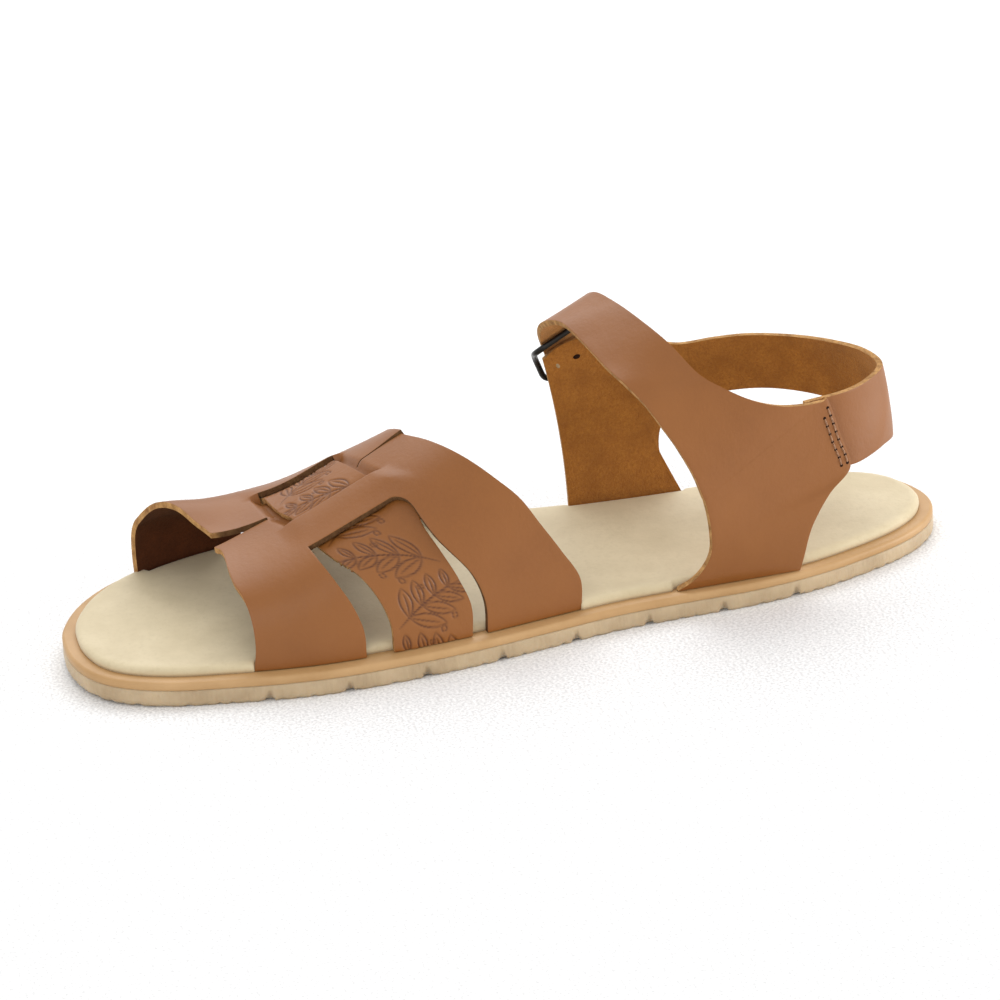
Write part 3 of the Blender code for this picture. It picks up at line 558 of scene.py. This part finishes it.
# sprigs in turn from either edge, each a bent stem with four pairs of leaves and three small rings beside it;
# a stroke is a line bent once, from start to end past a middle point
def sprigStrokes(width, length):
    strokes = []
    for n in range(int(length / sprig["step"]) + 2):
        side = 1 if n % 2 else -1
        base = np.array([(n - sprig["shift"]) * sprig["step"], 0.5 * width - side * sprig["aside"] * width])
        lean = math.radians(sprig["lean"] * side)
        along = np.array([math.cos(lean), math.sin(lean)])
        across = np.array([-along[1], along[0]]) * side
        tip = base + along * sprig["stem"] + across * sprig["tip"]
        bend = base + along * sprig["bend"][0] * sprig["stem"] - across * sprig["bend"][1]
        strokes.append((base, bend, tip, 1.0))
        for k, share in enumerate(sprig["leafSpots"]):
            root = (1 - share) ** 2 * base + 2 * share * (1 - share) * bend + share**2 * tip
            for turn, larger in zip(sprig["leafTurns"], sprig["leafSizes"]):
                size = sprig["leaf"] * (1.0 - sprig["shorter"] * k) * larger
                way = along * math.cos(math.radians(turn)) + across * math.sin(math.radians(turn))
                wide = np.array([-way[1], way[0]])
                end = root + way * size
                for hand in (sprig["leafWidth"], -sprig["leafWidth"]):
                    strokes.append((root, root + way * 0.5 * size + wide * hand * size, end, 0.9))
                middle, lift, stop = sprig["vein"]
                bent = root + way * middle * size + wide * lift * size
                strokes.append((root, bent, root + way * stop * size, 0.8))
        for ring in range(sprig["rings"]):
            (ahead, aside), (onward, back) = sprig["ringPlace"], sprig["ringStep"]
            spot = base + along * (ahead + onward * ring) + across * (aside - back * ring)
            pull = sprig["ringRound"]
            for quarter in range(4):
                start, end = (spot + sprig["ringRadius"] * np.array([math.cos(a), math.sin(a)])
                              for a in (quarter * math.pi / 2, (quarter + 1) * math.pi / 2))
                strokes.append((start, (1 - 2 * pull) * spot + start * pull + end * pull, end, 0.8))
    return strokes


# groove depth: one at a stroke's middle line, falling off with the square of the distance from it
def strokeRelief(u, v, strokes):
    relief = np.zeros(u.shape)
    t = np.linspace(0, 1, 9)[:, None]
    for start, bend, end, strength in strokes:
        line = (1 - t) ** 2 * start + 2 * t * (1 - t) * bend + t**2 * end
        low, high = line.min(0) - strap["reach"], line.max(0) + strap["reach"]
        near = (u > low[0]) & (u < high[0]) & (v > low[1]) & (v < high[1])
        if not near.any():
            continue
        p = np.stack([u[near], v[near]], -1)[:, None]
        a, b = line[None, :-1], line[None, 1:]
        share = np.clip(((p - a) * (b - a)).sum(-1) / ((b - a) ** 2).sum(-1), 0, 1)
        distance = np.linalg.norm(p - a - share[..., None] * (b - a), axis=-1)
        best = distance.argmin(1)
        where = (best + share[np.arange(len(best)), best]) / 8
        taper = 0.35 + 0.65 * np.sin(np.pi * np.clip(where, 0, 1)) ** 0.5
        fall = np.exp(-(distance.min(1) / strap["grooveWidth"]) ** 2)
        relief[near] = np.maximum(relief[near], strength * taper * fall)
    return relief


def makeMiddleStrap():
    columns = np.linspace(1, -1, strap["columns"])
    share = np.linspace(0, 1, strap["rows"])[:, None]
    y = (1 - share) * edgeAt("strapFront", columns) + share * edgeAt("strapRear", columns)
    base = archPoint(columns[None, :] + 0 * y, y, shoe["legInset"])
    normal = gridNormals(base, passes=2)
    grid = base + normal * strapHeight(columns)[None, :, None]
    grid[:, 0, 2], grid[:, -1, 2] = base[:, 0, 2], base[:, -1, 2]
    alongSteps = np.linalg.norm(np.diff(grid, axis=1), axis=-1).mean(0)
    acrossSteps = np.linalg.norm(np.diff(grid, axis=0), axis=-1)
    u = np.concatenate([[0], alongSteps.cumsum()])[None, :] * 1000 + 0 * y
    v = np.vstack([np.zeros((1, len(columns))), acrossSteps.cumsum(0)]) * 1000
    groove = strokeRelief(u, v, sprigStrokes(v[-1].mean(), u[0, -1]))
    grid = grid - normal * (groove * strap["grooveDepth"])[..., None]
    keep = np.ones((len(share) - 1, len(columns) - 1), bool)
    # the groove depth also darkens the colour in the grooves: painted shade
    leatherWall("middleStrap", grid, keep, embossedLeather, suede, "middle_strap", "strap_leather",
                {"groove": groove}, softCorner["strap"])


makeMiddleStrap()

# across, along and height of the quarters' edges; no height means that the edge stands on the sole
quarters = {
    "innerLower": [
        (0.690, 0.329, None), (0.712, 0.366, 0.130), (0.728, 0.393, 0.185), (0.742, 0.404, 0.240),
        (0.750, 0.404, 0.310), (0.758, 0.400, 0.365), (0.764, 0.393, 0.420), (0.764, 0.389, 0.437),
        (0.760, 0.371, 0.520), (0.735, 0.340, 0.620), (0.700, 0.313, 0.690), (0.647, 0.281, 0.769),
        (0.549, 0.245, 0.834), (0.392, 0.218, 0.868), (0.176, 0.192, 0.908), (-0.078, 0.165, 0.934),
        (-0.330, 0.143, 0.885), (-0.580, 0.149, 0.790), (-0.755, 0.176, 0.665), (-0.815, 0.205, 0.535),
        (-0.815, 0.240, 0.400),
    ],
    "innerUpper": [
        (0.640, 0.610, None), (0.655, 0.618, 0.140), (0.655, 0.640, 0.250), (0.620, 0.685, 0.350),
        (0.545, 0.742, 0.420), (0.540, 0.724, 0.535), (0.545, 0.698, 0.670), (0.551, 0.688, 0.671),
        (0.590, 0.640, 0.676), (0.630, 0.580, 0.695), (0.648, 0.520, 0.732), (0.636, 0.455, 0.790),
        (0.598, 0.405, 0.845), (0.450, 0.358, 0.930), (0.235, 0.316, 0.978), (0.000, 0.282, 1.000),
        (-0.235, 0.256, 0.992), (-0.545, 0.252, 0.893), (-0.775, 0.285, 0.735), (-0.815, 0.322, 0.590),
        (-0.815, 0.357, 0.455),
    ],
    "outerLower": [
        (-0.676, 0.202, None), (-0.681, 0.295, None), (-0.681, 0.390, None), (-0.676, 0.468, None),
        (-0.676, 0.436, 0.190), (-0.682, 0.420, 0.290), (-0.684, 0.438, 0.390), (-0.680, 0.500, 0.445),
        (-0.662, 0.590, 0.469), (-0.600, 0.690, 0.471), (-0.441, 0.790, 0.456), (-0.196, 0.864, 0.435),
        (0.078, 0.893, 0.408), (0.294, 0.845, 0.416), (0.431, 0.774, 0.403), (0.480, 0.716, 0.407),
        (0.515, 0.640, 0.415),
    ],
    "outerUpper": [
        (-0.680, 0.164, 0.672), (-0.680, 0.190, 0.704), (-0.682, 0.225, 0.727), (-0.686, 0.270, 0.738),
        (-0.688, 0.315, 0.738), (-0.688, 0.360, 0.722), (-0.684, 0.415, 0.692), (-0.674, 0.480, 0.665),
        (-0.655, 0.560, 0.673), (-0.622, 0.640, 0.677), (-0.529, 0.735, 0.672), (-0.353, 0.807, 0.675),
        (-0.137, 0.858, 0.678), (0.098, 0.872, 0.672), (0.294, 0.822, 0.668), (0.431, 0.752, 0.667),
        (0.515, 0.650, 0.667),
    ],
    "columns": 361, "rows": 33, "steps": 3, "levels": 5,
    "bowPart": 0.2, "bulgeKnots": (9.0, 14.6), "bulgeRuns": (2.5, 2.0),
}


def edgePoints(table):
    points = np.array([(a, b, 0 if c is None else c) for a, b, c in table])
    points = points * (halfWidth, halfLength, shoe["instepRise"])
    points[[c is None for a, b, c in table], 2] = foot
    return points


# a band of straight lines from its lower to its upper edge curve, its front end bowed and its heel bulged
def bandGrid(lower, upper, columns, rows, bow, bulge):
    low, high = smoothLine(edgePoints(lower), columns), smoothLine(edgePoints(upper), columns)
    standing = len([c for a, b, c in lower if c is None]) - 1
    low[:1 + round(standing * (columns - 1) / (len(lower) - 1)), 2] = foot
    if standing == 0:
        high[0, 2] = foot
    share = np.linspace(0, 1, rows)[:, None, None]
    grid = low[None] * (1 - share) + high[None] * share
    arc = 4 * share[..., 0] * (1 - share[..., 0])
    grid[..., 1] += bow * arc * ramp(1 - np.linspace(0, 1, columns) / quarters["bowPart"])[None, :]
    at = np.linspace(0, len(lower) - 1, columns)
    (start, end), runs = quarters["bulgeKnots"], quarters["bulgeRuns"]
    fade = ramp((at - start) / runs[0]) * ramp((end - at) / runs[1])
    away = grid[..., :2] - (0, shoe["heelCentre"] * halfLength)
    away /= np.linalg.norm(away, axis=-1)[..., None]
    grid[..., :2] += (bulge * arc * fade[None, :])[..., None] * away
    return grid


# a band with its inner face laid one leather's thickness in, along normals taken on a coarse grid
def makeBand(name, lower, upper, bow, bulge, node):
    rows, columns, levels = quarters["rows"], quarters["columns"], quarters["levels"]
    outer = bandGrid(lower, upper, columns, rows, bow, bulge)
    coarseColumns = quarters["steps"] * (len(lower) - 1) + 1
    coarse = gridNormals(bandGrid(lower, upper, coarseColumns, levels, bow, bulge), passes=8)
    u, v = np.linspace(0, coarseColumns - 1, columns), np.linspace(0, levels - 1, rows)
    normal = hermite(u, np.arange(coarseColumns), coarse.transpose(1, 0, 2).reshape(coarseColumns, -1))
    normal = normal.reshape(columns, levels, 3).transpose(1, 0, 2).reshape(levels, -1)
    normal = hermite(v, np.arange(levels), normal).reshape(rows, columns, 3)
    normal /= np.linalg.norm(normal, axis=-1)[..., None]
    inner = outer - shoe["leather"] * normal
    standing = outer[0, :, 2] <= foot + 1e-6
    inner[0, standing, 2] = foot
    if not standing[1]:
        inner[:, 0, 2] = outer[:, 0, 2] = foot
    count = rows * columns
    cells = gridFaces(rows, columns).reshape(-1, 4)
    border = np.concatenate([np.arange(columns), np.arange(1, rows) * columns + columns - 1,
                             (rows - 1) * columns + np.arange(columns - 2, -1, -1),
                             np.arange(rows - 2, 0, -1) * columns])
    after = np.roll(border, -1)
    rim = np.stack([border, after, after + count, border + count], -1)
    faces = np.vstack([cells, cells[:, ::-1] + count, rim])
    slots = np.repeat([0, 1, 2], [len(cells), len(cells), len(rim)])
    obj = addMesh(name, np.vstack([outer.reshape(-1, 3), inner.reshape(-1, 3)]), faces,
                  [leather, suede, cutEdge], slots)
    finished(softened(mended(obj), softCorner["upper"]), "leather", node)
    return outer, normal


innerGrid, innerNormal = makeBand("innerQuarter", quarters["innerLower"], quarters["innerUpper"], 0, 0,
                                  "inner_quarter")
outerGrid, outerNormal = makeBand("outerQuarter", quarters["outerLower"], quarters["outerUpper"],
                                  shoe["frontBow"], shoe["heelBulge"], "outer_quarter")

# stations along and points across each slab, the fine tread in millimetres, and the cross grooves in metres
soles = {
    "outsole": (620, 60), "midsole": (420, 24), "insole": (760, 40),
    "ridge": 4.6, "ridgeDepth": 0.00045, "wave": 13.0, "waveShift": (1.7, 0.9),
    "grooveStep": 0.022, "grooveDepth": 0.0010, "grooveHalf": 0.0016, "grooveSlope": 0.00064,
}


# sections across the shoe at even turns from toe to heel, each one closed loop
def slabGrid(levels, stations, across, under):
    rows = (1 - np.cos(np.linspace(0, np.pi, stations))) / 2
    left, right = [], []
    for inset, height in levels:
        inner, outer = sides(inset)
        y = inner[0, 0] + rows * (inner[-1, 0] - inner[0, 0])
        right.append(np.stack([np.interp(y, inner[:, 0], inner[:, 1]), y, height + 0 * y], -1))
        left.append(np.stack([np.interp(y, outer[:, 0], outer[:, 1]), y, height + 0 * y], -1))
    right, left = np.stack(right, 1), np.stack(left, 1)
    share = np.linspace(0, 1, across)[None, 1:-1, None]
    bottom = left[:, :1] * (1 - share) + right[:, :1] * share
    top = right[:, -1:] * (1 - share) + left[:, -1:] * share
    grid = np.concatenate([bottom, right, top, left[:, ::-1]], 1)
    count = bottom.shape[1]
    edge = np.zeros(grid.shape[1])
    edge[:count] = edge[count] = edge[-1] = 1.0
    edge[count + 1] = edge[-2] = 1.0
    grid[..., 2] += under(grid[..., 0], grid[..., 1]) * edge[None, :]
    grid[..., 2] += toeLift(grid[..., 1])
    return grid


# wavy ridges across the tread: a flattened cosine along the shoe, shifted by a sine across it
def treadHeight(x, y):
    large, small = soles["waveShift"]
    shift = large * np.sin(2 * np.pi * x * 1000 / soles["wave"]) + small * np.sin(310 * x + 170 * y)
    phase = (y * 1000 + shift) / soles["ridge"]
    ridge = 0.5 + 0.5 * np.cos(2 * np.pi * phase)
    nearest = np.abs(y[..., None] - (np.arange(-4, 4) + 0.5) * soles["grooveStep"]).min(-1)
    groove = soles["grooveDepth"] * np.clip((soles["grooveHalf"] - nearest) / soles["grooveSlope"], 0, 1)
    uneven = 0.7 + 0.3 * np.sin(530 * y + 90 * x)
    return np.maximum(soles["ridgeDepth"] * uneven * ramp(1.5 * ridge - 0.55), groove)


def makeSlab(name, levels, under, material, node):
    grid = slabGrid(levels, *soles[node], under)
    faces = gridFaces(*grid.shape[:2], wrap=True).reshape(-1, 4)
    finished(mended(addMesh(name, grid.reshape(-1, 3), faces, [material])), node, node)


def flat(x, y):
    return 0 * x


# each slab's edge from below: how far in from the outline, and how high
outsoleEdge = [(0.0006, 0), (0.0001, 0.0008), (0, 0.0016), (0.0001, 0.0043), (0.0003, midBottom - 0.00002)]
midsoleEdge = [
    (0.0003, midBottom), (0.0001, midBottom + 0.0003), (0.0001, midTop - 0.0009),
    (0.00035, midTop - 0.00035), (0.0009, midTop),
]
makeSlab("gumOutsole", outsoleEdge, treadHeight, made["gumRubber"], "outsole")
makeSlab("tanMidsole", midsoleEdge, flat, made["tanRubber"], "midsole")

# the insole steps inwards where a leather foot stands beside it
insoleStep = {"run": 0.0007, "play": 0.0009}


def notched():
    leg = shoe["legInset"] + shoe["leather"] + 2 * shoe["gap"] - shoe["ledge"]
    quarter = shoe["quarterInset"] + shoe["leather"] + 3 * shoe["gap"] - shoe["ledge"]
    y, x = loop[:, 0], loop[:, 1]
    run, play = insoleStep["run"], insoleStep["play"]
    extra = np.zeros(len(loop))
    for inner, start, end, depth in (
        (True, edgeTable["front"][0], edgeTable["rear"][0], leg),
        (False, edgeTable["front"][-1], edgeTable["rear"][-1], leg),
        (True, quarters["innerLower"][0][1], quarters["innerUpper"][0][1], quarter),
        (False, quarters["outerLower"][0][1], quarters["outerLower"][3][1], quarter),
    ):
        start, end = start * halfLength - play, end * halfLength + play
        extra += depth * ramp((y - start) / run) * ramp((end - y) / run) * ((x > 0) == inner)
    return shoe["ledge"] + extra


rim = notched()
insoleEdge = [
    (rim + 0.0002, midTop), (rim, foot + 0.0006), (rim + 0.00015, foot + 0.0014),
    (rim + 0.0006, foot + 0.0020), (rim + 0.0013, foot + 0.00235), (rim + 0.0026, insoleTop),
]
makeSlab("insoleLeather", insoleEdge, flat, made["insoleLeather"], "insole")
print("soles made")


# a round profile carried along a path, its sides set by one fixed direction
def tubeGrid(path, radius, sideCount, steady, closed):
    path = np.asarray(path, float)
    if closed:
        tangent = np.roll(path, -1, 0) - np.roll(path, 1, 0)
    else:
        tangent = np.gradient(path, axis=0)
    tangent = tangent / np.linalg.norm(tangent, axis=1)[:, None]
    first = np.cross(tangent, steady)
    first = first / np.linalg.norm(first, axis=1)[:, None]
    second = np.cross(tangent, first)
    angle = np.linspace(0, 2 * np.pi, sideCount, endpoint=False)
    ring = np.cos(angle)[None, :, None] * first[:, None] + np.sin(angle)[None, :, None] * second[:, None]
    return path[:, None] + np.reshape(radius, (-1, 1, 1)) * ring


# places are knots of the inner quarter, radii and clearances metres; the prong's stops are shares of the
# way from hinge to bar with a lift over the strap's face or over the bar
buckle = {
    "hingeAt": 17.36, "barAt": 18.85, "wire": 0.0009, "bulge": 0.0032, "bulgeAt": 0.35, "toHinge": 0.55,
    "play": 0.0019, "bend": 0.0035, "sides": 18, "prong": 0.0008, "prongSides": 16, "faceKnot": 18,
    "onStrap": ((0.28, 0), (0.5, 0.0005)), "overBar": ((0.84, 0), (1.0, 0), (1.14, -0.0004)),
}


def makeBuckle():
    row = innerGrid.shape[0] // 2
    middle, out, reach = innerGrid[row], innerNormal[row], (innerGrid[-1] - innerGrid[0]) / 2
    at = np.linspace(0, len(quarters["innerLower"]) - 1, quarters["columns"])
    gap, wire = shoe["gap"], buckle["wire"]

    def place(array, where):
        return np.array([np.interp(where, at, array[:, i]) for i in range(3)])

    hingeAt, barAt = buckle["hingeAt"], buckle["barAt"]
    hinge = place(middle, hingeAt) - place(out, hingeAt) * (shoe["leather"] + gap + wire)
    bar = place(middle, barAt) + place(out, barAt) * (gap + wire)
    half = np.linalg.norm(place(reach, hingeAt)) + buckle["play"] + wire
    overHinge, overBar = (place(reach, where) * half / np.linalg.norm(place(reach, where))
                          for where in (hingeAt, barAt))
    between = hingeAt + buckle["bulgeAt"] * (barAt - hingeAt)
    side = buckle["toHinge"] * hinge + (1 - buckle["toHinge"]) * bar + place(out, between) * buckle["bulge"]
    corners = np.array([hinge - overHinge, side - overBar, bar - overBar, bar + overBar, side + overBar,
                        hinge + overHinge])
    before, after = np.roll(corners, 1, 0), np.roll(corners, -1, 0)
    cut = buckle["bend"]
    a = corners + (before - corners) * cut / np.linalg.norm(before - corners, axis=1)[:, None]
    b = corners + (after - corners) * cut / np.linalg.norm(after - corners, axis=1)[:, None]
    t = np.linspace(0, 1, 13)[None, :, None]
    path = (1 - t) ** 2 * a[:, None] + 2 * t * (1 - t) * corners[:, None] + t**2 * b[:, None]
    count = buckle["sides"]
    grid = tubeGrid(path.reshape(-1, 3), wire, count, place(out, buckle["faceKnot"]), True)
    index = gridFaces(len(grid) + 1, count, wrap=True).reshape(-1, 4) % (len(grid) * count)
    frameMesh = addMesh("buckleFrame", grid.reshape(-1, 3), index, [made["blackMetal"]])
    finished(mended(frameMesh), "buckle", "buckle_frame")
    lift, over = gap + buckle["prong"], 3.5 * gap + 2 * wire + buckle["prong"]
    stops = [(share, lift + more) for share, more in buckle["onStrap"]]
    stops += [(share, over + more) for share, more in buckle["overBar"]]
    path = []
    for share, height in stops:
        where = hingeAt + share * (barAt - hingeAt)
        path.append(place(middle, where) + place(out, where) * height)
    path = smoothLine(path, 40)
    path = np.vstack([path[:1], path[:1], path, path[-1:], path[-1:]])
    path[0] -= (path[3] - path[2]) * 0.02
    path[-1] += (path[-3] - path[-4]) * 0.02
    path[1] = path[0] * 0.5 + path[2] * 0.5
    path[-2] = path[-1] * 0.5 + path[-3] * 0.5
    radius = np.full(len(path), buckle["prong"])
    radius[[0, -1]] = 1e-7
    radius[[1, -2]] = 0.7 * buckle["prong"]
    steady = place(reach, buckle["faceKnot"])
    grid = tubeGrid(path, radius, buckle["prongSides"], steady / np.linalg.norm(steady), False)
    faces = gridFaces(len(grid), buckle["prongSides"], wrap=True).reshape(-1, 4)
    prongMesh = addMesh("bucklePin", grid.reshape(-1, 3), faces, [made["blackMetal"]])
    finished(mended(prongMesh), "buckle", "buckle_prong")


makeBuckle()

# two rows of stitches beside the seam's edge: each a short rounded thread between two holes, drawn as raised
# dark dots of painted shade
stitches = {
    "insets": (0.0011, 0.0031), "pitch": 0.0026, "knots": (4.0, 6.0), "ends": 0.0016,
    "thread": 0.00026, "threadSides": 8, "hole": 0.00048, "holeSides": 12,
}


# a low dome: rings of a stretched circle about a point, facing away along the normal
def dotGrid(place, outward, first, sizes):
    angle = np.linspace(0, 2 * np.pi, stitches["holeSides"], endpoint=False)
    first = first / np.linalg.norm(first)
    second = np.cross(outward, first)
    ring = sizes[0] * np.cos(angle)[:, None] * first + sizes[1] * np.sin(angle)[:, None] * second
    steps = ((1e-4, 0.00004), (0.5, 0.00007), (1.0, 0.00005), (1.05, -0.0001), (1e-4, -0.0001))
    return np.array([place + share * ring + outward * lift for share, lift in steps])


def addGrids(name, grids, sideCount, material):
    grids = np.array(grids)
    cells = gridFaces(grids.shape[1], sideCount, wrap=True).reshape(-1, 4)
    faces = (cells[None] + np.arange(len(grids))[:, None, None] * grids.shape[1] * sideCount).reshape(-1, 4)
    finished(mended(addMesh(name, grids.reshape(-1, 3), faces, [material]), 2e-7), "leather")


def makeStitches():
    at = np.linspace(0, len(quarters["innerLower"]) - 1, quarters["columns"])
    part = (at >= stitches["knots"][0]) & (at <= stitches["knots"][1])
    low, high, outward = innerGrid[0, part], innerGrid[-1, part], innerNormal[-1, part]
    down = (low - high) / np.linalg.norm(low - high, axis=1)[:, None]
    threads, holes = [], []
    for inset in stitches["insets"]:
        line = high + down * inset
        run = np.concatenate([[0], np.linalg.norm(np.diff(line, axis=0), axis=1).cumsum()])
        spots = np.arange(stitches["ends"], run[-1] - stitches["ends"], stitches["pitch"])
        points = np.stack([np.interp(spots, run, line[:, i]) for i in range(3)], -1)
        outs = np.stack([np.interp(spots, run, outward[:, i]) for i in range(3)], -1)
        t = np.linspace(0, 1, 9)
        height = (np.sin(np.pi * t) ** 0.5) * stitches["thread"] * 1.1 - stitches["thread"] * 0.5
        for p, q, n in zip(points, points[1:], outs):
            path = p[None] * (1 - t[:, None]) + q[None] * t[:, None] + n[None] * height[:, None]
            size = stitches["thread"] * np.clip(np.sin(np.pi * (0.04 + 0.92 * t)) ** 0.35, 0.05, 1)
            size[[0, -1]] = 1e-7
            threads.append(tubeGrid(path, size, stitches["threadSides"], np.cross(q - p, n), False))
        holes += [dotGrid(p, n, np.cross(n, (0, 0, 1.0)), (stitches["hole"], stitches["hole"]))
                  for p, n in zip(points, outs)]
    addGrids("seamThread", threads, stitches["threadSides"], made["brownThread"])
    # the holes are raised dark dots of painted shade, not openings in the leather
    addGrids("seamHoles", holes, stitches["holeSides"], made["shadeInHole"])


makeStitches()

# two punched marks on the suede inside the outer quarter's top: knot number, share of the height, half sizes
marks = {
    # the dark mark is a punched hole painted as a dark dot of shade
    "darkMark": (2.00, 0.910, (0.0011, 0.0007), "shadeInHole"),
    "paleMark": (0.84, 0.900, (0.0005, 0.0008), "paleMark"),
}


def makeMarks():
    for name, (knot, share, sizes, look) in marks.items():
        column = round(knot * (quarters["columns"] - 1) / (len(quarters["outerLower"]) - 1))
        row = round(share * (quarters["rows"] - 1))
        normal = -outerNormal[row, column]
        place = outerGrid[row, column] + normal * shoe["leather"]
        along = outerGrid[row, column + 1] - outerGrid[row, column - 1]
        dot = dotGrid(place, normal, along - normal * (along @ normal), sizes)
        addGrids(name, [dot], stitches["holeSides"], made[look])


makeMarks()
print("details made")

# floor, light and camera
worldStrength = 0.90
floor = addMesh("floor", [(-8, -8, 0), (8, -8, 0), (8, 8, 0), (-8, 8, 0)], [(0, 1, 2, 3)],
                [made["paleFloor"]])

world = bpy.data.worlds.new("studio")
scene.world = world
world.use_nodes = True
world.node_tree.nodes["Background"].inputs["Color"].default_value = (1, 1, 1, 1)
world.node_tree.nodes["Background"].inputs["Strength"].default_value = worldStrength

lights = [
    # name, place, size, watts
    ("overhead", (-0.60, 0.10, 0.80), 0.9, 6.0),
    ("front", (0.9, -0.55, 0.55), 0.7, 2.3),
    ("heelSide", (0.22, 1.0, 0.10), 0.4, 7.0),
]
for name, place, size, power in lights:
    data = bpy.data.lights.new(name, "AREA")
    data.shape = "SQUARE"
    data.size = size
    data.energy = power
    lamp = bpy.data.objects.new(name, data)
    lamp.location = place
    lamp.rotation_euler = (Vector((0, 0, 0.03)) - Vector(place)).to_track_quat("-Z", "Y").to_euler()
    scene.collection.objects.link(lamp)

cameraAt = {
    "elevation": 22.5, "azimuth": 79.98, "roll": 4.0, "distance": 1.2, "target": (-0.04686, 0.008, 0.008),
    "lens": 144.86, "sensor": 36,
}
elevation, azimuth, roll = (math.radians(cameraAt[key]) for key in ("elevation", "azimuth", "roll"))
level = math.cos(elevation)
back = Vector((math.sin(azimuth) * level, -math.cos(azimuth) * level, math.sin(elevation)))
right = Vector((math.cos(azimuth), math.sin(azimuth), 0))
up = back.cross(right)
rightTurned = right * math.cos(roll) - up * math.sin(roll)
upTurned = right * math.sin(roll) + up * math.cos(roll)
camera = bpy.data.objects.new("camera", bpy.data.cameras.new("camera"))
camera.data.sensor_width = cameraAt["sensor"]
camera.data.lens = cameraAt["lens"]
axes = Matrix((rightTurned, upTurned, back)).transposed().to_4x4()
camera.matrix_world = Matrix.Translation(Vector(cameraAt["target"]) + back * cameraAt["distance"]) @ axes
scene.collection.objects.link(camera)
scene.camera = camera
scene.view_settings.view_transform = "Standard"
print("stage made")
